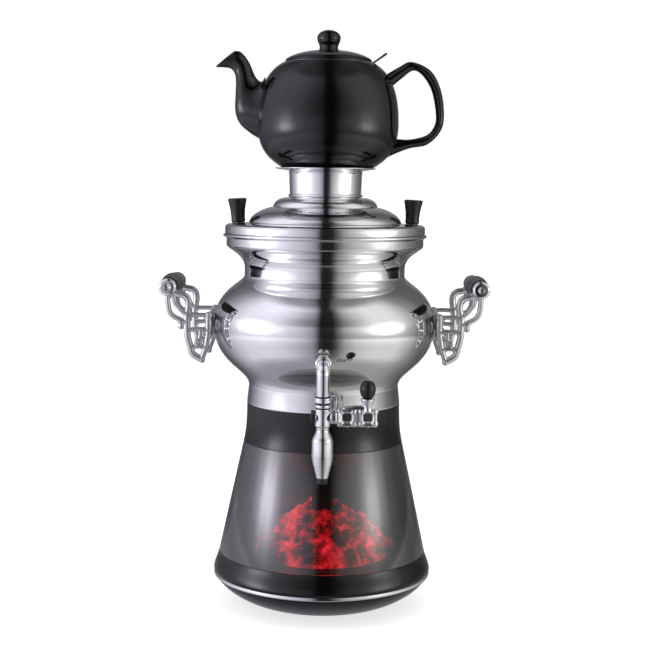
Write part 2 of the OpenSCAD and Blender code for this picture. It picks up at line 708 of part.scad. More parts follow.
// The cast arm seen from the front, from the bracket out to the grip's axis. Points are shares of
// the grip's distance out and up
module arm_bar(p, w) strokes([for (q = p) [q[0] * grip_out, q[1] * grip_up]], w);
module arm_outline() {
    inner = (bracket_x - belly_r + bracket_t / 2) / grip_out;
    outer = 0.552;
    heart = [0.26 * grip_out, -0.37 * grip_up];
    difference() {
        union() {
            translate([grip_out, grip_up]) circle(r = 7.6);
            arm_bar([[1, 1], [0.857, 0.87], [0.747, 0.81], [0.63, 0.79], [0.54, 0.705],
                [0.515, 0.565], [0.53, 0.42], [outer, 0.28], [outer, -0.1], [0.535, -0.28],
                [0.49, -0.45], [0.455, -0.6], [0.4, -0.7], [0.21, -0.81]], 6.4);
            arm_bar([[inner, 0.31], [inner, -0.12], [0.08, -0.32], [0.115, -0.52], [0.21, -0.81]],
                5.2);
            arm_bar([[1, 1], [1.01, 0.72], [1, 0.55], [0.97, 0.39], [0.89, 0.27], [0.75, 0.19],
                [0.6, 0.12]], 4.8);
            arm_bar([[0.94, 0.86], [0.865, 0.73], [0.84, 0.61], [0.75, 0.49], [0.67, 0.395],
                [outer, 0.31]], 4.2);
            arm_bar([[0.73, 0.17], [0.69, 0.08], [0.7, 0]], 5.6);
            arm_bar([[inner, 0.29], [outer, 0.3]], 3.8);
            arm_bar([[inner, -0.08], [0.23, -0.06], [outer, -0.08]], 3.8);
            arm_bar([[0.115, -0.51], [0.47, -0.5]], 3.4);
            translate([0.05 * grip_out, 0.3 * grip_up]) circle(r = 3.3);
            eye(heart, 2.4, 2.6);
            arm_bar([[0.26, -0.28], [0.24, -0.07]], 3);
        }
        translate([grip_out, grip_up]) circle(r = tie_r + 0.05);
    }
}
module arm(sx, sy) color("#c9cbcd") mirrored(sx) translate([belly_r, 0, z_belly])
    translate([0, sy > 0 ? arm_y + arm_t : -arm_y, 0]) rotate([90, 0, 0])
        linear_extrude(arm_t) arm_outline();

module handle_bracket(sx) color("#c9cbcd") mirrored(sx) difference() {
    union() {
        translate([bracket_x, -arm_y, z_belly - bracket_h / 2]) cube([bracket_t, 2 * arm_y, bracket_h]);
        along_x(belly_r - 4, 0, z_belly) cylinder(r = pad_r, h = bracket_x - belly_r + 5);
    }
    spin(concat([for (p = tank_line()) p + [seat_gap, 0]], [[0, z_lip], [0, z_tank]]));
    for (y = [-26, 26]) along_x(bracket_x - 1, y, z_belly) cylinder(r = 7.5, h = bracket_t + 2);
    for (u = [-1, 1]) along_x(belly_r - 12, 0, z_belly + u * stud_pitch / 2)
        cylinder(r = stud_r + 0.05, h = 30);
}

module handle_studs() color("#a8a8a8") stud_places() {
    along_x(belly_r - tank_wall - 3.7, 0, 0) cylinder(r = 4.5, h = 2.5);
    along_x(belly_r - tank_wall - 2.5, 0, 0)
        cylinder(r = stud_r, h = bracket_x + bracket_t + 4.5 - belly_r + tank_wall + 2.5);
}

module handle_cap_nuts() color("#d4d6d8") stud_places()
    along_x(bracket_x + bracket_t, 0, 0) difference() {
        union() {
            cylinder(r = 4.8, h = 3.4, $fn = 6);
            translate([0, 0, 3.4]) intersection() {
                sphere(r = 4.1);
                cylinder(r = 5, h = 5);
            }
        }
        translate([0, 0, -1]) cylinder(r = stud_r + 0.02, h = 6.2, $fn = 72);
    }

module at_grip(sx) translate([sx * (belly_r + grip_out), 0, z_belly + grip_up]) rotate([-90, 0, 0])
    children();

module grip(sx) color("#141414") at_grip(sx) difference() {
    rotate_extrude() polygon(concat([[0, -arm_y]], [for (k = [-1:0.2:1])
        [grip_r - (grip_r - 10.2) * k * k, k * arm_y]], [[0, arm_y]]));
    translate([0, 0, -arm_y - 1]) cylinder(r = tie_r + 0.05, h = 2 * arm_y + 2);
}

module tie_rods() color("#a8a8a8") for (sx = [-1, 1]) at_grip(sx)
    translate([0, 0, -arm_y - arm_t - 4.5]) cylinder(r = tie_r, h = 2 * (arm_y + arm_t + 4.5));

module grip_caps() color("#d4d6d8") for (sx = [-1, 1], e = [0, 1]) at_grip(sx) mirror([0, 0, e])
    translate([0, 0, arm_y + arm_t]) difference() {
        spin([[0, 0], [8.2, 0], [cap_r, 1.2], [cap_r, cap_len - 2.2], [cap_r - 0.8, cap_len - 0.8],
            [cap_r - 2.4, cap_len], [2.6, cap_len], [2, cap_len - 0.8], [0, cap_len - 0.8]]);
        translate([0, 0, -1]) cylinder(r = tie_r + 0.02, h = 6);
    }

// ---------------------------------------------------------------- lid and crown

function dome_line() = concat(
    [[lid_r, 0], [lid_r, 6.8], [lid_r - 0.8, 8.8], [lid_r - 3.4, 10.2], [dome_r + 3, 11.6],
     [dome_r + 1.2, 11]],
    curve([dome_r, 12], [dome_r - 0.5, 18.5], [dome_r - 10, lid_h - 14.2],
        [dome_r - 22.5, lid_h - 10.7], 6),
    curve([dome_r - 26, lid_h - 10.2], [dome_r - 26.2, lid_h - 6.2], [dome_r - 31, lid_h - 0.6],
        [dome_r - 41, lid_h], 5));
module lid() color("#d4d6d8") difference() {
    translate([0, 0, z_lid]) {
        spin(concat(dome_line(), [[0, lid_h], [0, lid_h - lid_wall]],
            back([for (p = inset(dome_line(), lid_wall)) [p[0], max(p[1], 0)]])));
        translate([0, 0, lid_h - 1]) tube(lid_spigot_r, lid_spigot_r - 2, lid_spigot_h + 1);
        translate([0, 0, -skirt_h]) tube(skirt_r, skirt_r - 1.5, skirt_h + 9.4);
    }
    at_lid_knobs() translate([0, 0, -10]) cylinder(r = knob_screw_r + 0.07, h = 20);
    for (a = [0:60:300]) rotate(a) translate([lid_spigot_r / 2, 0, z_lid + lid_h - 5])
        cylinder(r = vent_r, h = 10);
}

module at_lid_knobs() for (m = [-1, 1]) mirrored(m)
    translate([brim_r, 0, z_lid + brim_up]) rotate([0, knob_lean, 0]) children();
module lid_knobs() color("#121212") at_lid_knobs() translate([0, 0, 0.8]) difference() {
    spin([[0, 0], [0.7 * lid_knob_r, 0], [0.76 * lid_knob_r, 0.8],
        [0.74 * lid_knob_r, lid_knob_h * 0.2], [0.8 * lid_knob_r, lid_knob_h * 0.5],
        [0.93 * lid_knob_r, lid_knob_h * 0.78], [lid_knob_r, lid_knob_h * 0.92],
        [0.96 * lid_knob_r, lid_knob_h * 0.98], [0.84 * lid_knob_r, lid_knob_h], [0, lid_knob_h]]);
    translate([0, 0, -1]) cylinder(r = knob_screw_r + 0.02, h = 13);
}

module lid_knob_screws() color("#a8a8a8") at_lid_knobs() translate([0, 0, -lid_wall - 2.8]) {
    cylinder(r = 4, h = 1.8);
    cylinder(r = knob_screw_r, h = 12);
}

function bead(r, z, h) = [[r, z], [r + 1.6, z + h * 0.25], [r + 1.6, z + h * 0.75], [r, z + h]];
module crown() color("#d4d6d8") translate([0, 0, z_crown]) {
    spin(concat(bead(crown_r, 0, 3.4), [[crown_r, crown_h - 6.4]],
        bead(crown_r, crown_h - 6.4, 2.6), [[crown_r + 2, crown_h - 3],
        [saucer_r - 4, crown_h - 1.6], [saucer_r, crown_h - 0.8], [saucer_r, crown_h],
        [crown_r - 8, crown_h], [crown_r - 8, crown_h - 1.4], [crown_r - 1.4, crown_h - 1.4],
        [crown_r - 1.4, 0]]));
}

// ---------------------------------------------------------------- teapot

module at_pot() translate([teapot_x, 0, 0]) children();
spout_root = [-pot_r + 6, z_pot + 0.545 * pot_h];

module pot_solid() spin(concat(pot_line(), [[0, z_mouth], [0, z_pot]]));

// Stretch of the pot's wall between two points of its outline, seen from the side
function pot_wall_line(i, j, k) = concat([for (n = [i:j]) pot_line()[n]],
    [for (n = [j:-1:k]) inset(pot_line(), pot_wall)[n]]);

// Foot and floor, the bowl's wall up to its widest ring, and the shoulder up to the mouth
module teapot_base() color("#17171a") at_pot()
    spin(concat([[pot_foot_r - 6, z_pot + 2], [pot_foot_r - 5, z_pot]], pot_wall_line(0, 2, 2),
        [[0, z_pot + 7], [0, z_pot + 2]]));

module teapot_body() color("#17171a") at_pot() spin(pot_wall_line(2, 8, 2));

module teapot_shoulder() color("#17171a") at_pot() difference() {
    spin(pot_wall_line(8, 16, 8));
    translate([0, 0, z_mouth - pot_wall * 1.2]) cylinder(r = pot_mouth_r - 3.5, h = 10);
    for (i = [0:6]) translate([0, 0, spout_root[1]]) rotate([i == 0 ? 0 : 60 * i, 0, 0])
        along_x(-pot_r - 6, 0, i == 0 ? 0 : 8.5) cylinder(r = 2.6, h = 20);
}

// Swan-neck spout: sections run from the root inside the wall to the slanted mouth
function spout_sections() = [for (s = [
    [0.908, 0.268, 0.895, 0.83, 0.249], [1.111, 0.33, 0.935, 0.821, 0.216],
    [1.255, 0.42, 0.98, 0.826, 0.183], [1.317, 0.536, 1.033, 0.866, 0.157],
    [1.314, 0.696, 1.072, 0.924, 0.139], [1.309, 0.813, 1.113, 0.988, 0.123],
    [1.327, 0.893, 1.17, 1.049, 0.11], [1.399, 0.943, 1.242, 1.098, 0.102],
    [1.589, 0.952, 1.309, 1.109, 0.092]]) on_pot(-1, s)];
module teapot_spout() color("#17171a") at_pot() difference() {
    hollow_loft(spout_sections(), 3, 16, 2.6);
    pot_solid();
}

// Ear-shaped handle: sections run from the shoulder round to the foot
function ear_sections() = [for (s = [
    [0.738, 0.866, 0.869, 0.768, 0.105], [0.987, 0.969, 1.026, 0.857, 0.092],
    [1.17, 1.021, 1.196, 0.938, 0.086], [1.445, 0.936, 1.34, 0.88, 0.086],
    [1.596, 0.743, 1.466, 0.732, 0.086], [1.641, 0.5, 1.526, 0.5, 0.086],
    [1.589, 0.354, 1.484, 0.384, 0.086], [1.406, 0.23, 1.374, 0.316, 0.086],
    [1.154, 0.193, 1.157, 0.28, 0.089], [0.895, 0.121, 0.987, 0.282, 0.097],
    [0.738, 0.054, 0.856, 0.268, 0.105]]) on_pot(1, s)];
module teapot_handle() color("#17171a") at_pot() difference() {
    loft(ear_sections(), 3, 12);
    pot_solid();
}

module strainer() color("#c4c6c8") at_pot() {
    difference() {
        translate([0, 0, z_flange]) spin([[flange_r, 0], [flange_r, flange_thick],
            [basket_r - 0.8, flange_thick], [basket_r - 0.8, -1], [basket_r - 4, -basket_h + 0.8],
            [0, -basket_h + 0.8], [0, -basket_h], [basket_r - 3.2, -basket_h], [basket_r, -1],
            [basket_r, 0]]);
        for (k = [0:3], a = [0:30:330]) rotate(a + 15 * k)
            along_x(basket_r - 8, 0, z_flange - 16 - 10 * k) cylinder(r = 1.6, h = 12);
    }
    translate([flange_r - 3, 0, z_flange]) rotate([90, 0, 0]) linear_extrude(14, center = true)
        polygon([[0, 0], [4, 0], [18, 9.6], [18, 10.9], [16, 10.4], [3, flange_thick],
            [0, flange_thick]]);
}

function lid_line() = concat([[pot_lid_r - 0.4, 0], [pot_lid_r, 1.2]],
    curve([pot_lid_r - 1, 3], [pot_lid_r - 12, 9.5], [pot_lid_r - 26, 11.5], [11, 12.2], 6),
    curve([10.4, 13.4], [9.6, 16.5], [10, 17], [12.2, 21], 3),
    [for (a = [-20:22:90]) [12.7 * cos(a), pot_lid_h - 8.6 + 8.6 * sin(a)]]);
module teapot_lid() color("#17171a") at_pot() difference() {
    translate([0, 0, z_pot_lid]) spin(concat(lid_line(), [[0, pot_lid_h], [0, 0]]));
    translate([0, 0, z_pot_lid - 1]) cylinder(r1 = pot_lid_r - 6, r2 = 16, h = 9.5);
    translate([flange_r - 5, -7 - lift_gap, z_pot_lid - 1]) cube([10, 14 + 2 * lift_gap, 6]);
}

rubber_feet();
base_pan();
trim_ring();
base_ring();
inlet_housing();
inlet_pins();
power_switch();
ember_tray();
ember_bed();
led_board();
leds();
smoked_shade();
upper_collar();
support_tube();
clamp_rod();
clamp_nut();
tank_body();
tank_shoulder();
tank_neck();
tank_floor();
heating_element();
element_nuts();
element_seals();
thermostat();
thermal_cutout();
tap_inlet_seal();
tap_locknut();
tap_elbow();
tap_union_nut();
tap_valve_body();
tap_nozzle();
nozzle_tip();
tap_plug();
plug_spring_washer();
plug_nut();
tap_key();
tap_key_knob();
handle_bracket(-1);  // handle_bracket_left
handle_bracket(1);  // handle_bracket_right
handle_studs();
handle_cap_nuts();
arm(-1, -1);  // arm_left_front
arm(-1, 1);  // arm_left_rear
arm(1, -1);  // arm_right_front
arm(1, 1);  // arm_right_rear
grip(-1);  // grip_left
grip(1);  // grip_right
tie_rods();
grip_caps();
lid();
lid_knobs();
lid_knob_screws();
crown();
teapot_base();
teapot_body();
teapot_shoulder();
teapot_spout();
teapot_handle();
strainer();
teapot_lid();
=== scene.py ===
"""Looks of the electric samovar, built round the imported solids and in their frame."""
import json
import math
import random

import bmesh
import bpy
from mathutils import Matrix, Vector, noise


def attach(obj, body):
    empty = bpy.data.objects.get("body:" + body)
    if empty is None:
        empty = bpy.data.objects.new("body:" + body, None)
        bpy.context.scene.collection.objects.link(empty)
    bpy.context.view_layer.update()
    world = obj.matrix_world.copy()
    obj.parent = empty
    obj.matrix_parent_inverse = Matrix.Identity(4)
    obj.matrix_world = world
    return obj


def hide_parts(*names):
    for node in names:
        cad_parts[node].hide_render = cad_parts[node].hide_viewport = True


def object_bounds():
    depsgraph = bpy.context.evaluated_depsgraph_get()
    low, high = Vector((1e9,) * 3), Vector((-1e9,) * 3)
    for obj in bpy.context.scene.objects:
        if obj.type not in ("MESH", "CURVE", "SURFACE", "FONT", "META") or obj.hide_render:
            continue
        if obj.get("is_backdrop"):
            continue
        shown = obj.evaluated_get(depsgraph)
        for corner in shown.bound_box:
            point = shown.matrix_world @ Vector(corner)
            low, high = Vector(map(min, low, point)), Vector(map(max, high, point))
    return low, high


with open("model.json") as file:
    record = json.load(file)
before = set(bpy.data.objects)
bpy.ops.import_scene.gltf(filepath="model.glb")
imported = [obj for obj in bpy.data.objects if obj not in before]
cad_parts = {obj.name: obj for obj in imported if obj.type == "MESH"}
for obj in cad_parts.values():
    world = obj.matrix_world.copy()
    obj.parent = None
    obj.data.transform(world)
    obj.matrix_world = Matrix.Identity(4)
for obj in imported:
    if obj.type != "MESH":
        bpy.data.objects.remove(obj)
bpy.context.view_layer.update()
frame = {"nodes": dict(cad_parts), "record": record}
scene = bpy.context.scene
MM = 0.001
TURN = 2 * math.pi

# Heights, radii and places in the solids, in millimetres
PAN_Z, TRIM_Z, RING_Z, TRAY_Z, CONE_Z, COLLAR_Z, DECK_Z = 3.0, 32.5, 37.0, 52.5, 59.0, 181.5, 201.5
TANK_Z, PLUG_Z, INLET_Z, BELLY_Z, LIP_Z = 223.5, 229.5, 280.9, 309.5, 408.5
LID_Z, BRIM_Z, CROWN_Z, POT_Z, POT_LID_Z = 408.8, 420.1, 448.3, 480.3, 593.7
ROD_HOLE_R, TUBE_R, RING_BORE_R, BED_R = 4.2, 12.5, 105.4, 75
CONE_LOW_R, CONE_TOP_R, TANK_FOOT_R = 113.8, 87.3, 84.0
WAIST_R, BELLY_R, THROAT_R, RIM_R, LIP_R = 82.1, 121.0, 87.6, 107.5, 111.0
LID_R, BRIM_R, DOME_R, CROWN_R, SAUCER_R = 109, 94.7, 83, 38.8, 54.7
POT_X, POT_FOOT_R, POT_R, POT_MOUTH_R, POT_TALL = 2.0, 50, 76.4, 49.5, 112
TANK_WALL, LID_WALL, COLLAR_WALL, POT_WALL, PAN_WALL = 1.5, 1.2, 2.8, 4, 2.5
TAP_Y, PIPE_R, WATER_R, KEY_X, KEY_CELL, KEY_CUP_X = -138.0, 7.0, 3.6, 13.9, 21.0, 44.98
GRIP_OUT, GRIP_UP, ARM_Y, ARM_T = 45.5, 42.8, 40.0, 6.5


# ---------------------------------------------------------------- outlines

def bezier(a, b, c, d, n=24):
    """Points of a cubic curve, both ends included."""
    a, b, c, d = (Vector(p) for p in (a, b, c, d))
    return [(1 - t) ** 3 * a + 3 * t * (1 - t) ** 2 * b + 3 * t * t * (1 - t) * c + t ** 3 * d
            for t in (i / n for i in range(n + 1))]


def ogee(a, b, rise_a, rise_b, n=24):
    """An S-curve that leaves a and reaches b upright."""
    return bezier(a, (a[0], a[1] + rise_a), (b[0], b[1] - rise_b), b, n)


def smooth(points, n=8):
    """A Catmull-Rom curve through points of any size."""
    out = []
    for i in range(len(points) - 1):
        a, b = points[max(i - 1, 0)], points[i]
        c, d = points[i + 1], points[min(i + 2, len(points) - 1)]
        for j in range(n):
            t = j / n
            out.append(tuple(0.5 * (2 * q + (r - p) * t + (2 * p - 5 * q + 4 * r - s) * t * t
                                    + (3 * q - p - 3 * r + s) * t ** 3)
                             for p, q, r, s in zip(a, b, c, d)))
    return out + [tuple(points[-1])]


def inset(line, depth):
    """The line moved sideways, to the left of its direction."""
    out = []
    for i, p in enumerate(line):
        a, b = Vector(line[max(i - 1, 0)]), Vector(line[min(i + 1, len(line) - 1)])
        t = (b - a).normalized()
        out.append(Vector(p) + depth * Vector((-t.y, t.x)))
    return out


def walled(line, depth):
    """A closed outline with the line outside and its wall inside, with level ends."""
    inner = inset(line, depth)
    inner[0].y, inner[-1].y = line[0][1], line[-1][1]
    return list(line) + inner[::-1]


def rounded(outline, radius, n=5, least=18):
    """A closed outline with its corners rounded where it turns by more than `least` degrees."""
    pts, out = [Vector(p) for p in outline], []
    for i, p in enumerate(pts):
        a, b = pts[i - 1] - p, pts[(i + 1) % len(pts)] - p
        if a.length < 1e-6 or b.length < 1e-6:
            continue
        turn = math.pi - a.angle(b)
        if math.degrees(turn) < least or p.x < 1e-6:
            out.append(p)
            continue
        back = min(radius * math.tan(turn / 2), 0.45 * a.length, 0.45 * b.length)
        p0, p1 = p + back * a.normalized(), p + back * b.normalized()
        out += [(1 - t) ** 2 * p0 + 2 * t * (1 - t) * p + t * t * p1
                for t in (k / n for k in range(n + 1))]
    return out


# ---------------------------------------------------------------- mesh builders

def revolve(bm, outline, segments=144, place=None):
    """Turns a closed outline of (radius, height) points about Z."""
    place = place or Matrix()
    turns = [(math.cos(TURN * i / segments), math.sin(TURN * i / segments))
             for i in range(segments)]
    rings = [[bm.verts.new(place @ Vector((0, 0, z)))] if r < 1e-4 else
             [bm.verts.new(place @ Vector((r * c, r * s, z))) for c, s in turns]
             for r, z in outline]
    for a, b in zip(rings, rings[1:] + rings[:1]):
        for i in range(segments):
            j = (i + 1) % segments
            corners = dict.fromkeys((a[i % len(a)], a[j % len(a)], b[j % len(b)], b[i % len(b)]))
            if len(corners) > 2:
                bm.faces.new(list(corners))


def sweep(bm, path, wide, deep, across, n):
    """A solid tube along a flat path: `wide` is its half width in the path's plane, and `deep` its
    half depth along `across`, the plane's normal."""
    across, rings = Vector(across), []
    for i, p in enumerate(path):
        t = (Vector(path[min(i + 1, len(path) - 1)]) - Vector(path[max(i - 1, 0)])).normalized()
        side = across.cross(t)
        rings.append([bm.verts.new(Vector(p) + side * wide * math.cos(TURN * k / n)
                                   + across * deep * math.sin(TURN * k / n)) for k in range(n)])
    join_rings(bm, rings)


def join_rings(bm, rings, capped=True):
    """Faces between neighbouring rings of as many points, with the two ends closed if capped."""
    n = len(rings[0])
    for a, b in zip(rings, rings[1:]):
        for k in range(n):
            bm.faces.new((a[k], a[(k + 1) % n], b[(k + 1) % n], b[k]))
    if capped:
        bm.faces.new(rings[0][::-1])
        bm.faces.new(rings[-1])


def ball(bm, centre, radius, squash=(1, 1, 1)):
    """A lobe to be melted into a casting."""
    place = Matrix.Translation(centre) @ Matrix.Diagonal((*squash, 1))
    bmesh.ops.create_icosphere(bm, subdivisions=2, radius=radius, matrix=place)


def block(bm, low, high, bevel):
    """A box between two corners, with rounded edges."""
    low, high = Vector(low), Vector(high)
    made = bmesh.ops.create_cube(bm, size=1, matrix=Matrix.Translation((low + high) / 2)
                                 @ Matrix.Diagonal((*(high - low), 1)))
    edges = list({e for v in made["verts"] for e in v.link_edges})
    bmesh.ops.bevel(bm, geom=edges, offset=bevel, segments=3, profile=0.5, affect="EDGES")


def raw_object(name, bm):
    """A loose object in metres, from mesh data in millimetres."""
    mesh = bpy.data.meshes.new(name)
    bm.to_mesh(mesh)
    bm.free()
    mesh.transform(Matrix.Scale(MM, 4))
    obj = bpy.data.objects.new(name, mesh)
    scene.collection.objects.link(obj)
    return obj


def settle(obj):
    """Applies the object's modifiers to its mesh."""
    graph = bpy.context.evaluated_depsgraph_get()
    mesh = bpy.data.meshes.new_from_object(obj.evaluated_get(graph))
    obj.modifiers.clear()
    obj.data = mesh


def carve(obj, *cutters):
    """Takes loose objects out of a piece and removes them."""
    for cutter in cutters:
        step = obj.modifiers.new("carve", "BOOLEAN")
        step.object, step.solver = cutter, "EXACT"
    settle(obj)
    for cutter in cutters:
        bpy.data.objects.remove(cutter)


def cast(obj, voxel, rounds):
    """Melts overlapping parts into one rounded casting, on a grid of `voxel` millimetres."""
    step = obj.modifiers.new("melt", "REMESH")
    step.mode, step.voxel_size = "VOXEL", voxel * MM
    step = obj.modifiers.new("polish", "SMOOTH")
    step.factor, step.iterations = 0.6, rounds
    settle(obj)


def shade(obj, sharp):
    """Smooth shading that keeps edges sharper than `sharp` degrees."""
    bm = bmesh.new()
    bm.from_mesh(obj.data)
    for f in bm.faces:
        f.smooth = True
    for e in bm.edges:
        e.smooth = len(e.link_faces) == 2 and e.calc_face_angle(0) < math.radians(sharp)
    bm.to_mesh(obj.data)
    bm.free()


def dress(obj, material, body, slot, *nodes, sharp=32):
    """Finishes a loose object as a piece of the samovar."""
    shade(obj, sharp)
    obj.data.materials.clear()
    obj.data.materials.append(material)
    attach(obj, body)
    if nodes:
        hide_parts(*nodes)


def closed(bm):
    """The closed mesh, with its faces turned outwards."""
    bmesh.ops.recalc_face_normals(bm, faces=bm.faces)
    return bm


def lathe(name, outline, segments=144, place=None):
    """A turned piece, or one at each place of a list."""
    bm = bmesh.new()
    for one in (place if isinstance(place, list) else [place]):
        revolve(bm, outline, segments, one)
    return raw_object(name, closed(bm))


# ---------------------------------------------------------------- materials

class Shader:
    """A Principled material with a few procedural helpers."""

    def __init__(self, name, base, rough, metallic=0.0, **sockets):
        self.mat = bpy.data.materials.new(name)
        self.mat.use_nodes = True
        self.tree = self.mat.node_tree
        self.bsdf = self.tree.nodes["Principled BSDF"]
        self.coords = self.node("ShaderNodeTexCoord").outputs["Object"]
        self.set("Base Color", (*base, 1))
        self.set("Roughness", rough)
        self.set("Metallic", metallic)
        for key, value in sockets.items():
            self.set(key.replace("_", " ").title().replace("Ior", "IOR"), value)

    def node(self, kind, **fields):
        made = self.tree.nodes.new(kind)
        for key, value in fields.items():
            setattr(made, key, value)
        return made

    def set(self, socket, value):
        self.bsdf.inputs[socket].default_value = value

    def link(self, source, target):
        self.tree.links.new(source, target)

    def noise(self, scale, detail=4.0, stretch=(1, 1, 1), roughness=0.5):
        """Noise over the piece, with features about 1/scale metres wide."""
        mapping = self.node("ShaderNodeMapping")
        mapping.inputs["Scale"].default_value = stretch
        self.link(self.coords, mapping.inputs["Vector"])
        made = self.node("ShaderNodeTexNoise")
        made.inputs["Scale"].default_value = scale
        made.inputs["Detail"].default_value = detail
        made.inputs["Roughness"].default_value = roughness
        self.link(mapping.outputs["Vector"], made.inputs["Vector"])
        return made.outputs["Fac"]

    def spread(self, source, low, high, start=0.3, end=0.7):
        """The source's range from start to end, stretched to low to high."""
        made = self.node("ShaderNodeMapRange")
        for key, value in zip(("From Min", "From Max", "To Min", "To Max"),
                              (start, end, low, high)):
            made.inputs[key].default_value = value
        self.link(source, made.inputs["Value"])
        return made.outputs["Result"]

    def tint(self, source, *stops):
        """The source as a colour, on a ramp of (position, colour) stops."""
        made = self.node("ShaderNodeValToRGB")
        ramp = made.color_ramp
        while len(ramp.elements) < len(stops):
            ramp.elements.new(1.0)
        for element, (at, colour) in zip(ramp.elements, stops):
            element.position, element.color = at, (*colour, 1)
        self.link(source, made.inputs["Fac"])
        return made.outputs["Color"]

    def bump(self, source, height, edge=0.0):
        """Relief of `height` metres, over edges softened by `edge` metres."""
        made = self.node("ShaderNodeBump")
        made.inputs["Distance"].default_value = height
        self.link(source, made.inputs["Height"])
        if edge:
            bevel = self.node("ShaderNodeBevel", samples=4)
            bevel.inputs["Radius"].default_value = edge
            self.link(bevel.outputs["Normal"], made.inputs["Normal"])
        self.link(made.outputs["Normal"], self.bsdf.inputs["Normal"])


def metal(name, base, low, high, grain=(1, 1, 1), relief=2e-6, scale=60, edge=0.0, dull=0.94):
    """Metal with a polish that varies, faint grain and slightly softened edges."""
    s = Shader(name, base, low, metallic=1.0)
    s.link(s.spread(s.noise(scale, 6, grain), low, high), s.bsdf.inputs["Roughness"])
    s.link(s.tint(s.noise(35, 3), (0.3, tuple(dull * c for c in base)), (0.7, base)),
           s.bsdf.inputs["Base Color"])
    s.bump(s.noise(scale * 6, 5, grain), relief, edge)
    return s.mat


def plastic(name, base, low, high, relief=6e-6, scale=700, edge=0.0, worn=1.25, **sockets):
    """Moulded plastic with a fine skin texture and uneven gloss."""
    s = Shader(name, base, low, **sockets)
    s.link(s.spread(s.noise(45, 5), low, high), s.bsdf.inputs["Roughness"])
    s.link(s.tint(s.noise(24, 4), (0.35, base), (0.75, tuple(worn * c for c in base))),
           s.bsdf.inputs["Base Color"])
    s.bump(s.noise(scale, 2), relief, edge)
    return s.mat


# Stretch of the grain on turned pieces, which runs round them
SPUN = (1, 1, 9)
CHROME = (0.80, 0.80, 0.81)
chrome = metal("chrome_plate", CHROME, 0.02, 0.07, SPUN, 1.0e-6, 45)
small_chrome = metal("chrome_small_parts", CHROME, 0.05, 0.13, edge=0.0004)
castings = metal("bright_casting", (0.70, 0.70, 0.71), 0.26, 0.40, relief=1.6e-5, scale=90,
                 dull=0.84)
# Painted light: the key's metal is a paler copy of the arms' casting metal, standing in for the
# light on the key; its lower roughness gives it a higher polish
key_metal_painted_bright = metal("casting_painted_bright", (0.90, 0.90, 0.91), 0.16, 0.28, relief=1.2e-5, scale=90,
                  dull=0.88)
steel = metal("satin_steel", (0.56, 0.57, 0.58), 0.24, 0.42, (1, 1, 6), 5e-6, 90, 0.0003)
# Steel coloured dark as painted shade, for the parts listed below
painted_shade_steel = metal("steel_painted_shade", (0.11, 0.11, 0.12), 0.28, 0.44, relief=5e-6, scale=90)
brass = metal("turned_brass", (0.72, 0.53, 0.25), 0.18, 0.34, (6, 1, 1), 5e-6, 90, 0.0003)
gloss_black = plastic("gloss_black_moulding", (0.003, 0.003, 0.0036), 0.10, 0.18, ior=1.46)
matte_black = plastic("matte_black_moulding", (0.012, 0.012, 0.013), 0.42, 0.6, 2e-5, 900,
                      0.0004)
knob_black = plastic("knob_black_moulding", (0.006, 0.006, 0.007), 0.24, 0.36, 8e-6, 600)
rubber = plastic("rubber", (0.022, 0.022, 0.023), 0.7, 0.85, 2.5e-5, 1200, 0.0004, 1.6)
silicone = plastic("silicone_seal", (0.42, 0.42, 0.40), 0.45, 0.6, 1e-5, 800, 0.0003)
board = plastic("circuit_board", (0.03, 0.12, 0.05), 0.35, 0.5, 1e-5, 500, 0.0002)
rocker_red = plastic("rocker_cap", (0.34, 0.02, 0.012), 0.18, 0.3, 5e-6, 600, 0.0005)


def glaze():
    """Black glaze over clay, with the slow waves that a dipped glaze has."""
    s = Shader("black_glaze", (0.006, 0.006, 0.007), 0.16, ior=1.46, coat_weight=0.2,
               coat_roughness=0.05)
    s.link(s.spread(s.noise(30, 4), 0.08, 0.14), s.bsdf.inputs["Roughness"])
    s.link(s.tint(s.noise(18, 5), (0.3, (0.0015, 0.0015, 0.002)), (0.8, (0.004, 0.004, 0.005))),
           s.bsdf.inputs["Base Color"])
    s.bump(s.noise(28, 3), 3e-5)
    return s.mat


def smoked_window(name, coat):
    """Smoked plastic: dark in the mass, glossier outside than inside."""
    s = Shader(name, (0.045, 0.04, 0.045), 0.04, transmission_weight=1.0, ior=1.5,
               coat_weight=coat, coat_roughness=0.06, coat_ior=1.72)
    s.link(s.tint(s.noise(14, 3), (0.3, (0.04, 0.035, 0.041)), (0.75, (0.052, 0.047, 0.052))),
           s.bsdf.inputs["Base Color"])
    s.bump(s.noise(25, 2), 1.5e-5)
    return s.mat


def embers():
    """Cast coals lit from below: char on the skin, fire in the folds, darker to the left."""
    s = Shader("embers", (0.06, 0.012, 0.008), 0.4)
    split = s.node("ShaderNodeSeparateXYZ")
    s.link(s.coords, split.inputs["Vector"])
    heat = s.node("ShaderNodeMath", operation="ADD")
    s.link(s.noise(42, 6, roughness=0.66), heat.inputs[0])
    s.link(s.spread(split.outputs["X"], -0.07, 0.0, -0.062, -0.034), heat.inputs[1])
    glow = s.tint(heat.outputs["Value"], (0.39, (0.003, 0.0, 0.0)), (0.47, (0.12, 0.001, 0.001)),
                  (0.54, (0.45, 0.006, 0.008)), (0.61, (0.85, 0.03, 0.04)),
                  (0.70, (1.0, 0.10, 0.12)))
    s.link(glow, s.bsdf.inputs["Emission Color"])
    s.set("Emission Strength", 19.0)
    s.link(s.tint(s.noise(80, 4), (0.3, (0.02, 0.004, 0.003)), (0.7, (0.12, 0.02, 0.012))),
           s.bsdf.inputs["Base Color"])
    s.bump(s.noise(150, 6), 4e-4)
    return s.mat


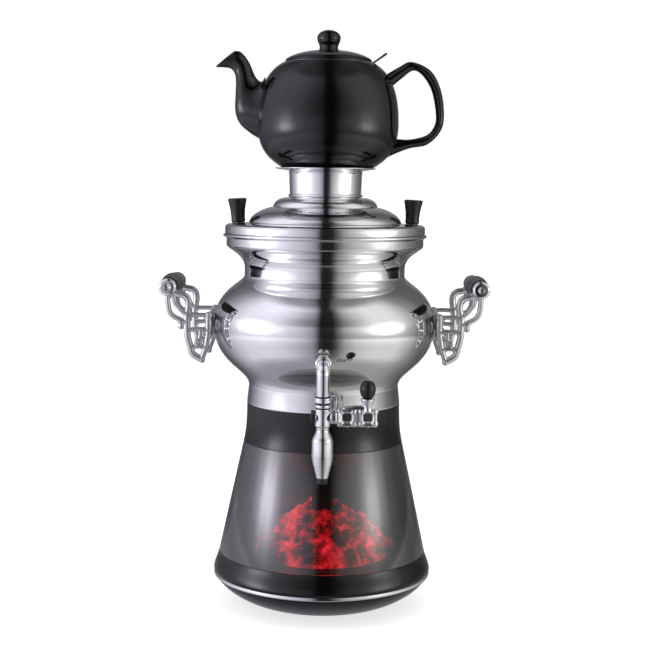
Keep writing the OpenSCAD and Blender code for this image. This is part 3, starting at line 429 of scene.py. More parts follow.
def lamp_dome():
    """Warm glow of the small lamps under the embers."""
    s = Shader("lamp_dome", (0.9, 0.3, 0.15), 0.2)
    s.link(s.tint(s.noise(400, 2), (0.3, (1.0, 0.16, 0.05)), (0.7, (1.0, 0.30, 0.10))),
           s.bsdf.inputs["Emission Color"])
    s.set("Emission Strength", 4.0)
    return s.mat


ceramic, ember, lamp = glaze(), embers(), lamp_dome()
smoked, smoked_inside = smoked_window("smoked_window", 1.0), smoked_window("smoked_inside", 0.0)
SLOTS = {"chrome": small_chrome, "cast_chrome": castings, "steel": steel, "brass": brass,
         "black_plastic": gloss_black, "black_matte": matte_black, "smoked": smoked,
         "ember": ember, "led": lamp, "board": board, "ceramic": ceramic, "rubber": rubber,
         "seal": silicone, "rocker": rocker_red}
# Painted shade: steel coloured dark, on the strainer's rim for the shade under the teapot's lid,
# and on the plug nut and its washer for the dark reflection they show
PAINTED_SHADE_STEEL_NODES = ("strainer", "plug_nut", "plug_spring_washer")
for part in frame["record"]["subparts"]:
    mesh = frame["nodes"][part["node"]].data
    mesh.materials.clear()
    painted_dark = part["node"] in PAINTED_SHADE_STEEL_NODES
    mesh.materials.append(painted_shade_steel if painted_dark else SLOTS[part["material_slot"]])


# ---------------------------------------------------------------- base

def inlet_hole():
    """The space of the rear housing, which the base's rings leave free."""
    bm = bmesh.new()
    low, high, bevel = (-30.2, 11.8), (30.2, 46.2), 4.08
    corners = []
    for x, z, dx, dz in ((low[0], low[1], 1, 1), (high[0], low[1], -1, 1),
                         (high[0], high[1], -1, -1), (low[0], high[1], 1, -1)):
        pair = [(x, z + dz * bevel), (x + dx * bevel, z)]
        corners += pair if dx == dz else pair[::-1]
    join_rings(bm, [[bm.verts.new((x, y, z)) for x, z in corners] for y in (94.4, 220)])
    return raw_object("cutter", closed(bm))


pan_line = bezier((70, PAN_Z), (88, 6), (112, 20), (117.6, TRIM_Z), 30)
pan_inner = inset(pan_line, PAN_WALL)
pan_inner[-1].y = TRIM_Z
pan = lathe("pan", rounded(
    [(ROD_HOLE_R, 12.5), (20, 12.5), (22, PAN_Z), *pan_line, *pan_inner[::-1], (24.5, 5.5),
     (22.5, 15), (ROD_HOLE_R, 15)], 1.2), 180)
carve(pan, inlet_hole())
dress(pan, gloss_black, "base", "black_plastic", "base_pan")

trim = lathe("bright_trim", rounded(
    [(RING_BORE_R, TRIM_Z), (117.9, TRIM_Z), (119.6, 33.2), (119.8, 33.9), (119.4, 36.2),
     (118.6, RING_Z), (RING_BORE_R, RING_Z)], 0.5), 180)
carve(trim, inlet_hole())
dress(trim, chrome, "base", "chrome", "trim_ring")

slope = (CONE_LOW_R - CONE_TOP_R) / (COLLAR_Z - CONE_Z)
ring = lathe("lower_ring", rounded(
    [(119.2, RING_Z), *bezier((120, 39.5), (118.9, 45.5), (CONE_LOW_R + 6.5 * slope, 52.5),
                              (CONE_LOW_R, CONE_Z), 24),
     (111.3, CONE_Z), (111.3, TRAY_Z), (RING_BORE_R, TRAY_Z), (RING_BORE_R, RING_Z)], 0.7), 180)
carve(ring, inlet_hole())
dress(ring, gloss_black, "base", "black_plastic", "base_ring")

foot = rounded([(0, 0), (5.6, 0), (5.9, 0.5), (6.5, 0.5), (6.8, 0), (7.4, 0), (8, 2.2), (8, 3),
                (3, 3), (3, 7.5), (0, 7.5)], 0.4)
feet = lathe("feet", foot, 64, [Matrix.Rotation(math.radians(a), 4, "Z")
                                @ Matrix.Translation((58, 0, 0)) for a in (45, 135, 225, 315)])
dress(feet, rubber, "base", "rubber", "rubber_feet")


# ---------------------------------------------------------------- window and embers

cone = lathe("smoked_cone", rounded(
    [(111.1, 53), (111.1, CONE_Z), (CONE_LOW_R, CONE_Z), (CONE_TOP_R, COLLAR_Z),
     (84.3, COLLAR_Z), (82.7, 187.5), (80.2, 187.5), (82.3, 177.5), (108.6, 54), (108.6, 53)],
    0.4), 192)
dress(cone, smoked, "base", "smoked", "smoked_shade")
cone.data.materials.append(smoked_inside)
for face in cone.data.polygons:
    if face.normal.x * face.center.x + face.normal.y * face.center.y < 0:
        face.material_index = 1

collar_line = bezier((CONE_TOP_R, COLLAR_Z), (CONE_TOP_R - 12 * slope, COLLAR_Z + 12),
                     (TANK_FOOT_R, TANK_Z - 18), (TANK_FOOT_R, TANK_Z), 24)
collar = lathe("black_collar", rounded(walled(collar_line, COLLAR_WALL), 0.5), 180)
dress(collar, gloss_black, "base", "black_plastic", "upper_collar")
deck = lathe("collar_deck", rounded([(ROD_HOLE_R, DECK_Z), (82, DECK_Z), (82, DECK_Z + 2),
                                     (ROD_HOLE_R, DECK_Z + 2)], 0.4), 120)
dress(deck, matte_black, "base", "black_plastic")


def heap(r):
    """Height of the ember heap over the tray at a distance from the axis."""
    return 3 + 48 * (1 - (r / BED_R) ** 1.3)


def coal_bed():
    """A glowing bed with cast coals heaped on it, all joined as one moulding."""
    coals, clear_r, rng = 70, TUBE_R + 0.1, random.Random(7)
    bm = bmesh.new()
    bed = [(TUBE_R, 0), (BED_R, 0), (BED_R, 3)]
    bed += [(r, heap(r)) for r in (70, 60, 50, 40, 30, 20, TUBE_R)]
    revolve(bm, [(r, z + TRAY_Z + 2) for r, z in bed], 96)
    for i in range(coals):
        r = 68 * math.sqrt((i + 1.2) / (coals + 1))
        a = math.radians(137.5 * i)
        size = rng.uniform(6.5, 11.5)
        centre = Vector((r * math.cos(a), r * math.sin(a), TRAY_Z + heap(r) + rng.uniform(0, 4)))
        if r < 24:
            centre += 8 * Vector((math.cos(a), math.sin(a), 0))
        turn = (Matrix.Rotation(rng.uniform(0, 6), 4, "Z")
                @ Matrix.Rotation(rng.uniform(0, 3), 4, "X"))
        stretch = (rng.uniform(0.8, 1.5), rng.uniform(0.7, 1.0), rng.uniform(0.6, 0.9))
        made = bmesh.ops.create_icosphere(bm, subdivisions=3, radius=size,
                                          matrix=turn @ Matrix.Diagonal((*stretch, 1)))
        for v in made["verts"]:
            lump = noise.fractal(v.co * 0.11 + Vector((i, 0, 0)), 0.7, 2.2, 4)
            crack = abs(noise.noise(v.co * 0.22 + Vector((0, i, 0))))
            v.co = v.co * (1 + 0.35 * lump - 0.25 * max(0, 0.12 - crack) / 0.12) + centre
    for v in bm.verts:
        v.co.z = max(v.co.z, TRAY_Z + 2)
        far = math.hypot(v.co.x, v.co.y)
        if far < clear_r:
            v.co.x, v.co.y = (c * clear_r / max(far, 1e-6) for c in (v.co.x, v.co.y))
    return raw_object("coals", bm)


dress(coal_bed(), ember, "base", "ember", "ember_bed", sharp=60)


# ---------------------------------------------------------------- tank

tank_line = [(TANK_FOOT_R, TANK_Z), (TANK_FOOT_R, TANK_Z + 2)]
tank_line += ogee((WAIST_R, TANK_Z + 19), (BELLY_R, BELLY_Z), 18, 42, 40)
tank_line += ogee((BELLY_R, BELLY_Z), (THROAT_R, TANK_Z + 140), 38, 8, 40)[1:]
tank_line += ogee((THROAT_R, TANK_Z + 148), (RIM_R, LIP_Z - 12), 15, 5, 30)
tank_line += [(RIM_R, LIP_Z - 4.4), (RIM_R + 1.2, LIP_Z - 3.9), (LIP_R, LIP_Z - 2.4),
              (LIP_R, LIP_Z - 0.8), (LIP_R - 0.9, LIP_Z)]
tank = lathe("tank", rounded(
    tank_line + [(RIM_R - 1.5, LIP_Z), (RIM_R - 1.5, LIP_Z - 12)]
    + inset(tank_line[:-5], TANK_WALL)[::-1], 0.8, least=24), 224)
dress(tank, chrome, "base", "chrome", "tank_body", "tank_shoulder", "tank_neck")


# ---------------------------------------------------------------- tap

def tap_place(along_x=False):
    """The middle of the tap's barrel, upright or along the key's axis."""
    place = Matrix.Translation((0, TAP_Y, PLUG_Z))
    return place @ Matrix.Rotation(math.pi / 2, 4, "Y") if along_x else place


def tap_elbow():
    """Pipe from the tank, round the bend and down, with its flange."""
    bm = bmesh.new()
    bend = [(0, TAP_Y + 9 - 9 * math.sin(a), INLET_Z - 9 + 9 * math.cos(a))
            for a in (math.radians(6 * i) for i in range(16))]
    path = [(0, -104, INLET_Z), (0, -120, INLET_Z), *bend, (0, TAP_Y, PLUG_Z + 15.5)]
    sweep(bm, path, PIPE_R, PIPE_R, (1, 0, 0), 48)
    face = Matrix.Translation((0, -123, INLET_Z)) @ Matrix.Rotation(math.pi / 2, 4, "X")
    revolve(bm, rounded([(0, 0), (8.2, 0), (8.2, 1.2), (7.4, 1.8), (0, 1.8)], 0.5), 64, face)
    return raw_object("tap_pipe", closed(bm))


dress(tap_elbow(), small_chrome, "base", "chrome", "tap_elbow")


def union_nut():
    """Union nut turned as two full rings, with its flats between them."""
    bm = bmesh.new()
    flats = [(7.6 * math.cos(TURN * (k + 0.5) / 6), 7.6 * math.sin(TURN * (k + 0.5) / 6))
             for k in range(6)]
    join_rings(bm, [[bm.verts.new((x, TAP_Y + y, PLUG_Z + z)) for x, y in flats]
                    for z in (9.4, 21.4)])
    for low, tall, wide in ((9.5, 3.6, 7.8), (14.7, 5.4, 8.7)):
        revolve(bm, rounded([(0, low), (wide, low), (wide, low + tall), (0, low + tall)], 1.2), 72,
                tap_place())
    return raw_object("union_nut", closed(bm))


dress(union_nut(), small_chrome, "base", "chrome", "tap_union_nut")
# Painted shade: black rings between and beside the union nut's collars stand in for the shade in
# its grooves
groove_shade_rings = bmesh.new()
for low, tall in ((8.6, 1.0), (13.0, 1.8), (20.0, 1.4)):
    revolve(groove_shade_rings, rounded([(0, low), (7.9, low), (7.9, low + tall), (0, low + tall)], 0.5), 64,
            tap_place())
dress(raw_object("nut_groove_shade_rings", closed(groove_shade_rings)), matte_black, "base", "black_matte")


def valve():
    """The tap's body: an upright barrel with a shoulder, crossed by the plug's barrel."""
    bm = bmesh.new()
    revolve(bm, rounded([(0, -13), (6.6, -13), (6.6, -10.4), (7.9, -8.6), (7.9, 7.6), (7.2, 8.8),
                         (7.2, 15.5), (0, 15.5)], 0.9), 72, tap_place())
    revolve(bm, rounded([(0, -7.9), (5.6, -7.9), (6.8, -7), (6.8, 7.6), (6.2, 8.5), (0, 8.5)],
                        0.7), 72, tap_place(True))
    return raw_object("valve", closed(bm))


dress(valve(), small_chrome, "base", "chrome", "tap_valve_body")

nozzle_line = ogee((6.6, -13), (10.9, -25), -3, -5, 16) + bezier(
    (10.9, -38), (10.9, -45), (7.6, -54), (6, -62), 20)
nozzle = lathe("nozzle", rounded([(0, -13), *nozzle_line, (WATER_R, -62), (0, -50)], 0.5), 96,
               tap_place())
dress(nozzle, small_chrome, "base", "chrome", "tap_nozzle")
tip = lathe("nozzle_mouth", rounded([(WATER_R, -68), (5.2, -68), (5.6, -66.8), (5.6, -62),
                                     (WATER_R, -62)], 0.4), 64, tap_place())
dress(tip, matte_black, "base", "black_matte", "nozzle_tip")


def bar(bm, points, width, depth, ends=True):
    """A cast bar in an upright plane that faces the front, with round ends."""
    sweep(bm, points, width / 2, depth / 2, (0, 1, 0), 16)
    if ends:
        for p in (points[0], points[-1]):
            ball(bm, p, width / 2, (1, depth / width, 1))


def key_casting():
    """The openwork key: two square windows in a lobed frame, and a flared cup on top."""
    bm = bmesh.new()
    y, z, half = TAP_Y, PLUG_Z, 7.0
    for i in (0, 1):
        mid = KEY_X + (i + 0.5) * KEY_CELL
        for a in (-half, half):
            bar(bm, [(mid - half, y, z + a), (mid, y, z + a), (mid + half, y, z + a)], 5.6, 5.8)
            bar(bm, [(mid + a, y, z - half), (mid + a, y, z), (mid + a, y, z + half)], 5.4, 5.8)
            for b in (-half, half):
                ball(bm, (mid + 0.94 * a, y, z + 0.86 * b), 4.2, (1, 0.85, 1))
            ball(bm, (mid, y, z + 1.08 * a), 3.0, (1.1, 1, 1))
    bar(bm, [(KEY_X + KEY_CELL, y, z - 5.0), (KEY_X + KEY_CELL, y, z + 5.0)], 9.4, 5.6)
    block(bm, (9.4, y - 4.6, z - 6.4), (17.8, y + 4.6, z + 6.4), 2.6)
    bar(bm, [(22, y, z + 8.4), (31, y, z + 9.4), (KEY_CUP_X, y, z + 10.4)], 5.6, 5.4)
    revolve(bm, [(0, 5), (4.4, 6), (3.9, 9.5), (4.2, 12), (5.9, 15.6), (7.4, 18.8), (6.8, 19.6),
                 (0, 18.4)], 48, Matrix.Translation((KEY_CUP_X, y, z)))
    revolve(bm, rounded([(0, 8.5), (7.1, 8.5), (7.1, 13.6), (0, 13.6)], 0.8), 48, tap_place(True))
    obj = raw_object("key", closed(bm))
    cast(obj, 0.34, 5)
    return obj


dress(key_casting(), key_metal_painted_bright, "key", "cast_chrome", "tap_key", sharp=60)
knob_line = smooth([(0.0, 0), (3.4, 0.6), (6.1, 3.2), (7.7, 7.2), (8, 11), (7.1, 15.4), (4.4, 18.9),
                    (0, 20)], 8)
key_knob = lathe("key_knob", knob_line, 72,
                 Matrix.Translation((KEY_CUP_X, TAP_Y, PLUG_Z + 18.3)))
dress(key_knob, knob_black, "key", "black_plastic", "tap_key_knob")


# ---------------------------------------------------------------- side handles

def arm_casting(side, y):
    """One openwork arm: an upright frame with a hanging ring, and two scrolls up to the grip."""
    bm = bmesh.new()

    def put(u, v):
        """A point of the arm, from its distance out from the belly and up from its middle."""
        return (side * (BELLY_R + u), y, BELLY_Z + v)

    def stroke(points, width):
        bar(bm, [put(u, v) for u, v in smooth(points, 6)], width, ARM_T)

    def loop(u, v, radius, width):
        bar(bm, [put(u + radius * math.cos(TURN * k / 30), v + radius * math.sin(TURN * k / 30))
                 for k in range(31)], width, ARM_T - 0.6, ends=False)

    grip = (GRIP_OUT, GRIP_UP)
    stroke([grip, (39, 37.2), (34, 34.7), (28.7, 33.8), (24.6, 30.2), (23.4, 24.2), (24.1, 18),
            (25.1, 12), (25.1, 4), (25.1, -4.3), (24.3, -12), (22.3, -19.3), (20.7, -25.7),
            (18.2, -30), (9.6, -34.7)], 7.6)
    stroke([(2.6, 13.3), (2.6, 4), (2.6, -5.1), (3.6, -13.7), (5.2, -22.3), (9.6, -34.7)], 6.4)
    stroke([grip, (46, 30.8), (45.5, 23.5), (44.1, 16.7), (40.5, 11.6), (34.1, 8.1),
            (27.3, 5.1)], 6.0)
    stroke([(42.8, 36.8), (39.4, 31.2), (38.2, 26.1), (34.1, 21), (30.5, 16.9), (25.1, 13.3)], 5.4)
    stroke([(33.2, 7.3), (31.4, 3.4), (31.9, 0)], 6.6)
    stroke([(2.6, 12.6), (12, 12.9), (25.1, 12.6)], 5.0)
    stroke([(2.6, -3.6), (10.5, -2.6), (25.1, -3.4)], 5.0)
    stroke([(5.2, -21.6), (13, -21.2), (21.4, -21.6)], 4.6)
    loop(11.8, -15.8, 4.1, 3.6)
    stroke([(11.8, -12), (10.9, -3)], 4.2)
    ball(bm, put(2.3, 12.8), 4.0)
    ball(bm, put(10.5, -2.2), 2.9, (1.1, 1.1, 0.9))
    ball(bm, put(9.2, -35.0), 3.6, (1, 1, 1.1))
    hub = Matrix.Translation(put(*grip)) @ Matrix.Rotation(math.pi / 2, 4, "X")
    revolve(bm, [(0, -3.3), (7.4, -3.3), (8.1, -2.6), (8.1, 2.6), (7.4, 3.3), (0, 3.3)], 40, hub)
    name = f"arm_{'left' if side < 0 else 'right'}_{'front' if y < 0 else 'rear'}"
    obj = raw_object("cast_" + name, closed(bm))
    cast(obj, 0.5, 4)
    dress(obj, castings, "base", "cast_chrome", name, sharp=60)


def grip_place(side):
    """The middle of a grip, with its axis from front to rear."""
    return (Matrix.Translation((side * (BELLY_R + GRIP_OUT), 0, BELLY_Z + GRIP_UP))
            @ Matrix.Rotation(-math.pi / 2, 4, "X"))


grip_line = smooth([(10.0, -40), (10.3, -36), (10.9, -24), (11.7, -10), (12, 0), (11.7, 10),
                    (10.9, 24), (10.3, 36), (10.0, 40)], 6)
end_cap_line = [(0, 46.5), (8.2, 46.5), (9.6, 47.7), (9.6, 51.6), (8.9, 53.0), (7.2, 53.9),
                (3.4, 54.1), (2.6, 52.6), (0, 52.2)]
for side, word in ((-1, "left"), (1, "right")):
    for y in (-ARM_Y - ARM_T / 2, ARM_Y + ARM_T / 2):
        arm_casting(side, y)
    grip = lathe(f"turned_grip_{word}", rounded([(0, -40), *grip_line, (0, 40)], 1.2), 72,
                 grip_place(side))
    dress(grip, knob_black, "base", "black_plastic", f"grip_{word}")
caps = lathe("end_caps", rounded(end_cap_line, 0.7), 72,
             [grip_place(side) @ turn for side in (-1, 1)
              for turn in (Matrix(), Matrix.Rotation(math.pi, 4, "X"))])
dress(caps, small_chrome, "base", "chrome", "grip_caps")


# ---------------------------------------------------------------- lid and crown

lid_line = [(LID_R, 0), (LID_R, 6.6), (108.4, 8.6), (105.8, 10.2), (86.6, 11.5), (84.4, 11.1)]
lid_line += bezier((DOME_R, 12), (82.5, 18.5), (73, 25), (60.5, 28.5), 24)
lid_line += bezier((57, 29), (56.8, 33), (52, 38.6), (42, 39.2), 20)
lid_inner = [Vector((p.x, max(p.y, 0))) for p in inset(lid_line, LID_WALL)]
lid = lathe("stepped_lid", [(r, z + LID_Z) for r, z in rounded(
    lid_line + [(0, 39.2), (0, 38)] + lid_inner[::-1], 0.9, least=14)], 224)
dress(lid, chrome, "lid", "chrome", "lid")
for name, low_r, high_r, low_z, high_z, segments in (
        ("lid_skirt", 103.1, 104.6, LID_Z - 10, LID_Z + 8.6, 144),
        ("lid_spigot", 34.4, 36.4, 447, 452, 120)):
    band = lathe(name, rounded([(low_r, low_z), (high_r, low_z), (high_r, high_z),
                                (low_r, high_z)], 0.4), segments)
    dress(band, chrome, "lid", "chrome")

lid_knob_line = [(0, -0.9), (6.5, -0.9), (7.07, 0), (7.7, 0.8), (7.5, 5.1), (8.1, 12.8),
                 (9.4, 19.9), (10.1, 23.5), (9.7, 25), (8.5, 25.5), (0, 25.5)]
knobs = lathe("flared_knobs", rounded(lid_knob_line, 0.8), 72, [
    Matrix.Translation((s * BRIM_R, 0, BRIM_Z)) @ Matrix.Rotation(math.radians(3 * s), 4, "Y")
    @ Matrix.Translation((0, 0, 0.8)) for s in (-1, 1)])
dress(knobs, knob_black, "lid", "black_plastic", "lid_knobs")


def bead(r, z, h):
    """Half-round bead of height h on a tube."""
    return [(r, z), (r + 1.1, z + h * 0.12), (r + 1.6, z + h * 0.5), (r + 1.1, z + h * 0.88),
            (r, z + h)]


crown = lathe("crown_tube", [(r, z + CROWN_Z) for r, z in rounded(
    [*bead(CROWN_R, 0, 3.4), (CROWN_R, 25.3), *bead(CROWN_R, 25.3, 2.6), (40.8, 28.7),
     (50.7, 30.1), (SAUCER_R, 30.9), (SAUCER_R, 31.7), (30.8, 31.7), (30.8, 30.3), (37.4, 30.3),
     (37.4, 0)], 0.5)], 160)
dress(crown, chrome, "crown", "chrome", "crown")


# ---------------------------------------------------------------- teapot

def at_pot(outline):
    """An outline over the teapot's foot, moved to its height."""
    return [(r, z + POT_Z) for r, z in outline]


POT_AXIS = Matrix.Translation((POT_X, 0, 0))
pot_line = bezier((POT_FOOT_R, 0), (64, 9), (POT_R, 19), (POT_R, 47), 36)
pot_line += bezier((POT_R, 47), (POT_R, 78), (69.5, 101), (POT_MOUTH_R, POT_TALL), 40)[1:]
pot_inner = inset(pot_line, POT_WALL)[2:-3]
body = lathe("pot_body", rounded(at_pot(
    [(0, 2), (44, 2), (45, 0), *pot_line, (46, POT_TALL), (46, 107.6), *pot_inner[::-1], (0, 7)]),
    0.8, least=24), 200, POT_AXIS)
dress(body, ceramic, "teapot", "ceramic", "teapot_base", "teapot_body", "teapot_shoulder")

# Sections of the spout and handle, over the teapot's foot and from its axis: outer x and z, inner
# x and z, half depth
SPOUT = [(-66, 24, -68, 97, 23), (-71, 28.5, -70, 94.4, 19.6), (-84.9, 37, -71.4, 92, 16.5),
         (-95.9, 47, -74.9, 92.5, 14), (-100.6, 60, -78.9, 97, 12),
         (-100.4, 78, -81.9, 103.5, 10.6), (-100, 91, -85, 110.6, 9.4),
         (-101.4, 100, -89.4, 117.5, 8.4),
         (-106.9, 105.6, -94.9, 123, 7.8), (-121.4, 106.6, -100, 124.2, 7)]
HANDLE = [(56.4, 97, 66.4, 86, 8), (75.4, 108.5, 78.4, 96, 7), (89.4, 114.3, 91.4, 105, 6.6),
          (110.4, 104.8, 102.4, 98.6, 6.6), (121.9, 83.2, 112, 82, 6.6),
          (125.4, 56, 116.6, 56, 6.6), (121.4, 39.6, 113.4, 43, 6.6),
          (107.4, 25.8, 105, 35.4, 6.6), (88.2, 21.6, 88.4, 31.4, 6.8),
          (68.4, 13.6, 75.4, 31.6, 7.4), (56.4, 6, 65.4, 30, 8)]


def section(bm, s, n=48, shrink=0.0):
    """One ring of a loft, drawn about the middle of the section."""
    half = Vector((s[0] - s[2], s[1] - s[3])) / 2
    half -= shrink * half.normalized()
    mid = Vector((s[0] + s[2], s[1] + s[3])) / 2
    return [bm.verts.new((POT_X + mid.x + half.x * math.cos(a), (s[4] - shrink) * math.sin(a),
                          POT_Z + mid.y + half.y * math.cos(a)))
            for a in (TURN * k / n for k in range(n))]


def pot_plug():
    """The space inside the teapot's wall, kept free of spout and handle."""
    bm = bmesh.new()
    revolve(bm, at_pot([(0, 1), *inset(pot_line, POT_WALL / 2), (0, POT_TALL)]), 96, POT_AXIS)
    return raw_object("cutter", closed(bm))


def pot_spout():
    """A hollow beak, open at its lip and rooted in the pot's wall."""
    bm = bmesh.new()
    path = smooth(SPOUT, 6)
    outer = [section(bm, s) for s in path]
    lip = [section(bm, path[-1], shrink=t) for t in (0.5, 1.2, 2.0)]
    for v in lip[0] + lip[1]:
        v.co += Vector((-0.5, 0, 0.3))
    inner = [section(bm, s, shrink=2.6) for s in path[::-1]]
    rings = outer + lip + inner
    join_rings(bm, rings, capped=False)
    join_rings(bm, [rings[-1], rings[0]], capped=False)
    obj = raw_object("pot_spout", closed(bm))
    carve(obj, pot_plug())
    return obj


def pot_handle():
    """The ear-shaped handle, rooted in the pot's wall at both ends."""
    bm = bmesh.new()
    join_rings(bm, [section(bm, s, 32) for s in smooth(HANDLE, 7)])
    obj = raw_object("pot_handle", closed(bm))
    carve(obj, pot_plug())
    return obj


dress(pot_spout(), ceramic, "teapot", "ceramic", "teapot_spout", sharp=50)
dress(pot_handle(), ceramic, "teapot", "ceramic", "teapot_handle", sharp=50)

cap_line = [(46.2, 0), (46.6, 0.8), (46.4, 1.8)]
cap_line += bezier((45.4, 3), (34.6, 9.5), (20.6, 11.5), (11, 12.2), 24)
cap_line += bezier((10.4, 13.2), (9.4, 16.5), (10, 17), (12.0, 21.4), 12)
cap_line += [(12.7 * math.cos(a), 25.4 + 8.6 * math.sin(a))
             for a in (math.radians(x) for x in range(-14, 90, 8))]
pot_cap = lathe("pot_cap", [(r, z + POT_LID_Z) for r, z in rounded(
    cap_line + [(0, 34), (0, 7.2), (17, 7.2), (40.6, 0)], 0.5, least=24)], 144, POT_AXIS)
dress(pot_cap, ceramic, "teapot_lid", "ceramic", "teapot_lid")


# ---------------------------------------------------------------- studio

def between(t, stops):
    """The value at t on straight lines between stops."""
    for (a, p), (b, q) in zip(stops, stops[1:]):
        if t <= b:
            return p + (q - p) * max(0, t - a) / (b - a)
    return stops[-1][1]


# Brightness against the angle from the front, in degrees, on the left (-1) and the right (1): a
# dark gap behind the camera, a wide screen and a dark rear, and the lamp on each screen
SCREENS = {-1: [(0, 0.02), (4, 0.03), (10, 0.38), (16, 0.56), (22, 0.7), (31, 0.88), (42, 1.05),
                (62, 1.2), (90, 1.1), (107, 0.8), (122, 0.48), (140, 0.2), (155, 0.12), (180, 0.4)],
           1: [(0, 0.02), (9, 0.03), (14, 0.16), (21, 0.47), (32, 0.78), (43, 0.94), (55, 1.05),
               (80, 1.0), (94, 0.7), (110, 0.34), (132, 0.16), (155, 0.12), (180, 0.4)]}
LAMPS = {-1: [(36, 0), (50, 0.4), (58, 1.8), (66, 4.8), (77, 4.8), (86, 1.6), (98, 0.3),
              (110, 0)],
         1: [(34, 0), (46, 0.4), (54, 1.4), (60, 2.9), (70, 2.9), (78, 1.1), (92, 0)]}
TINTS = {-1: (0.94, 0.92, 1.04), 1: (1.0, 1.0, 1.0)}
# Share of that brightness at the foot and the top of the screens
LOW, HIGH = {-1: 0.85, 1: 0.6}, {-1: 1.05, 1: 0.92}
# Radius and height of the screens, and the height from which their angles are told, in metres
WALL_R, WALL_H, MIDDLE_Z = 2.1, 2.5, 0.3
FLOOR_WHITE, WORLD_WHITE, WORLD_LIGHT = 0.72, 1.0, 0.9


def bearings(x, y, z):
    """Angle from the front, angle up from the middle of the object, and side."""
    return (math.degrees(math.atan2(abs(x), -y)),
            math.degrees(math.atan2(z - MIDDLE_Z, WALL_R)), math.copysign(1, x))


def tinted(strength, side):
    """The strength as a colour, in the tint of its side."""
    return [strength * c for c in TINTS[side]]


def screen_glow(x, y, z):
    """The screens, with the gap ahead widened above the lamps."""
    turn, up, side = bearings(x, y, z)
    gap = between(up, [(9, 0), (14, 1), (24, 1), (34, 0.5), (46, 0.3)])
    gap *= between(turn, [(0, 0.4), (16, 0.5), (30, 0.35), (50, 0.05), (70, 0)])
    return tinted((1 - gap) * between(turn, SCREENS[side]) * between(up, [
        (-8, LOW[side]), (0, 0.5 + LOW[side] / 2), (6, 1), (14, 0.95), (46, HIGH[side])]), side)


def wall_glow(x, y, z):
    """The screens with their lamps."""
    turn, up, side = bearings(x, y, z)
    lamp = between(turn, LAMPS[side]) * between(up, [(-8, 0), (-4, 0.3), (-1, 0.8), (1, 1), (4, 1),
                                                     (8, 0.55), (12, 0.2), (18, 0)])
    return [a + b for a, b in zip(screen_glow(x, y, z), tinted(lamp, side))]


def ceiling_glow(x, y, z):
    """A dim ceiling with a dark strip over the middle, that meets the screens at its rim."""
    turn, _, side = bearings(x, y, z)
    strength = between(abs(x), [(0, 0.02), (0.12, 0.03), (0.28, 0.2), (0.5, 0.34), (0.9, 0.4),
                                (1.3, 0.44), (2.1, 0.5)])
    strength *= 1 if side < 0 else 0.7
    rim = between(math.hypot(x, y), [(1.0, 0), (1.25, 0.2), (1.5, 0.65), (1.8, 1), (3, 1)])
    strength += (HIGH[side] * between(turn, SCREENS[side]) - strength) * rim
    return tinted(strength, side)


def floor_glow(x, y, z):
    """The floor as the screens light it, even and dim close to the object."""
    turn, _, side = bearings(x, y, z)
    far = math.hypot(x, y)
    reach = between(far, [(0.15, 0.5), (0.25, 0.75), (0.35, 0.9), (0.6, 0.75), (0.9, 0.85),
                          (1.3, 1.1), (1.6, 0.55 + LOW[side] / 2), (1.9, LOW[side]),
                          (3, LOW[side])])
    strength = reach * between(turn, SCREENS[side])
    even = between(far, [(0.16, 1), (0.22, 0.85), (0.34, 0.25), (0.6, 0)])
    strength += (0.36 - strength) * even
    return tinted(strength, side)


def glow_shell(name, rings, glow, *seen):
    """A shell round the object that only some rays see, bright as glow says at each point."""
    n = len(rings[0])
    points = [p for ring in rings for p in ring]
    mesh = bpy.data.meshes.new(name)
    mesh.from_pydata(points, [], [(i * n + k, i * n + (k + 1) % n, (i + 1) * n + (k + 1) % n,
                                   (i + 1) * n + k) for i in range(len(rings) - 1)
                                  for k in range(n)])
    layer = mesh.attributes.new("glow", "FLOAT_COLOR", "POINT")
    for spot, p in zip(layer.data, points):
        spot.color = (*glow(*p), 1)
    obj = bpy.data.objects.new(name, mesh)
    scene.collection.objects.link(obj)
    obj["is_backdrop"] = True
    obj.visible_camera = obj.visible_shadow = obj.visible_volume_scatter = False
    obj.visible_transmission = False
    obj.visible_glossy, obj.visible_diffuse = "glossy" in seen, "diffuse" in seen
    mat = bpy.data.materials.new(name)
    mat.use_nodes = True
    tree = mat.node_tree
    tree.nodes.clear()
    out = tree.nodes.new("ShaderNodeOutputMaterial")
    light = tree.nodes.new("ShaderNodeEmission")
    source = tree.nodes.new("ShaderNodeAttribute")
    source.attribute_name = "glow"
    tree.links.new(source.outputs["Color"], light.inputs["Color"])
    tree.links.new(light.outputs[0], out.inputs["Surface"])
    mesh.materials.append(mat)


def hoop(radius, z, n=120):
    """Points of a level ring, none of them straight ahead or behind."""
    return [(radius * math.sin(TURN * (k + 0.5) / n), -radius * math.cos(TURN * (k + 0.5) / n), z)
            for k in range(n)]


glow_shell("screens", [hoop(WALL_R + 0.01, WALL_H * k / 24) for k in range(25)], screen_glow,
           "diffuse")
glow_shell("lamps", [hoop(WALL_R, WALL_H * k / 40, 180) for k in range(41)], wall_glow, "glossy")
glow_shell("ceiling", [hoop(WALL_R * k / 16 + 0.001, WALL_H) for k in range(17)], ceiling_glow,
           "glossy")
glow_shell("floor_sheen", [hoop(r, 0.002) for r in (0.01, 0.1, 0.16, 0.22, 0.28, 0.34, 0.45, 0.6,
                                                    0.75, 0.9, 1.1, 1.3, 1.45, 1.6, 1.75, 1.9,
                                                    WALL_R)], floor_glow, "glossy")


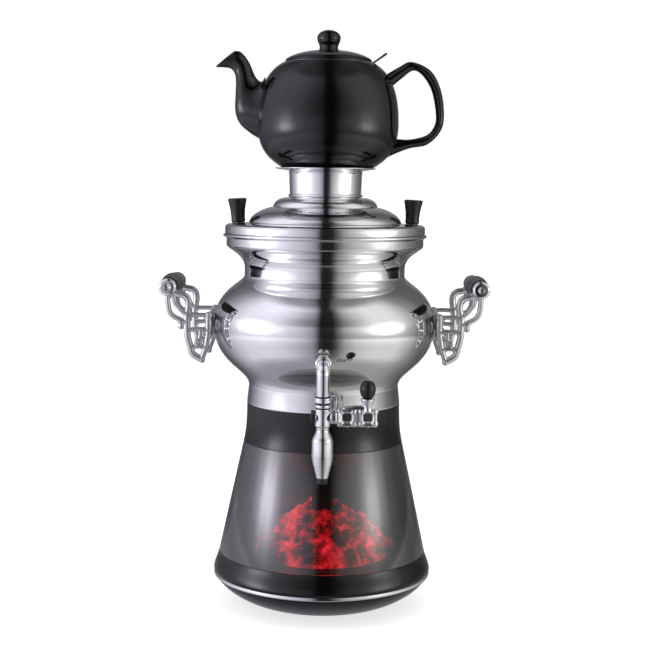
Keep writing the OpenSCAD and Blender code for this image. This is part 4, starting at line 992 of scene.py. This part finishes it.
def seen_white(tree, seen, lit):
    """`seen` for camera, glossy and transmission rays, `lit` for the rest."""
    path = tree.nodes.new("ShaderNodeLightPath")
    total = path.outputs["Is Camera Ray"]
    for other in ("Is Glossy Ray", "Is Transmission Ray"):
        larger = tree.nodes.new("ShaderNodeMath")
        larger.operation = "MAXIMUM"
        tree.links.new(total, larger.inputs[0])
        tree.links.new(path.outputs[other], larger.inputs[1])
        total = larger.outputs[0]
    mixed = tree.nodes.new("ShaderNodeMapRange")
    mixed.inputs["To Min"].default_value = lit
    mixed.inputs["To Max"].default_value = seen
    tree.links.new(total, mixed.inputs["Value"])
    return mixed.outputs["Result"]


def backdrop():
    """A white floor that keeps the object's shadow, under a white world."""
    far, under = 30, -2e-4
    mesh = bpy.data.meshes.new("floor")
    mesh.from_pydata([(-far, -far, under), (far, -far, under), (far, far, under),
                      (-far, far, under)], [], [(0, 1, 2, 3)])
    obj = bpy.data.objects.new("floor", mesh)
    scene.collection.objects.link(obj)
    obj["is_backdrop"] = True
    mat = bpy.data.materials.new("floor")
    mat.use_nodes = True
    tree = mat.node_tree
    bsdf = tree.nodes["Principled BSDF"]
    bsdf.inputs["Base Color"].default_value = (0.8, 0.8, 0.8, 1)
    bsdf.inputs["Roughness"].default_value = 0.9
    bsdf.inputs["Specular IOR Level"].default_value = 0.0
    bsdf.inputs["Emission Color"].default_value = (1, 1, 1, 1)
    tree.links.new(seen_white(tree, FLOOR_WHITE, 0.0), bsdf.inputs["Emission Strength"])
    mesh.materials.append(mat)
    world = bpy.data.worlds.new("studio")
    world.use_nodes = True
    tree = world.node_tree
    tree.links.new(seen_white(tree, WORLD_WHITE, WORLD_LIGHT),
                   tree.nodes["Background"].inputs["Strength"])
    tree.nodes["Background"].inputs["Color"].default_value = (1, 1, 1, 1)
    scene.world = world


backdrop()
scene.view_settings.view_transform = "Standard"

# ---------------------------------------------------------------- camera

# Focal length and image width in pixels, angles in degrees, place in metres
FOCAL_PX, WIDTH_PX, TILT, ROLL, SWING = 1376.9, 646, 5.841, 0.609, 0.2
CAMERA_AT, SENSOR = (-0.0012, -1.5056, 0.4647), 36
camera = bpy.data.cameras.new("camera")
camera.sensor_width = SENSOR
camera.lens = SENSOR * FOCAL_PX / WIDTH_PX
camera.clip_end = 60
view = bpy.data.objects.new("camera", camera)
scene.collection.objects.link(view)
scene.camera = view
view.matrix_world = (Matrix.Rotation(math.radians(SWING), 4, "Z")
                     @ Matrix.Translation(CAMERA_AT)
                     @ Matrix.Rotation(math.radians(90 - TILT), 4, "X")
                     @ Matrix.Rotation(math.radians(ROLL), 4, "Z"))

low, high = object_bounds()
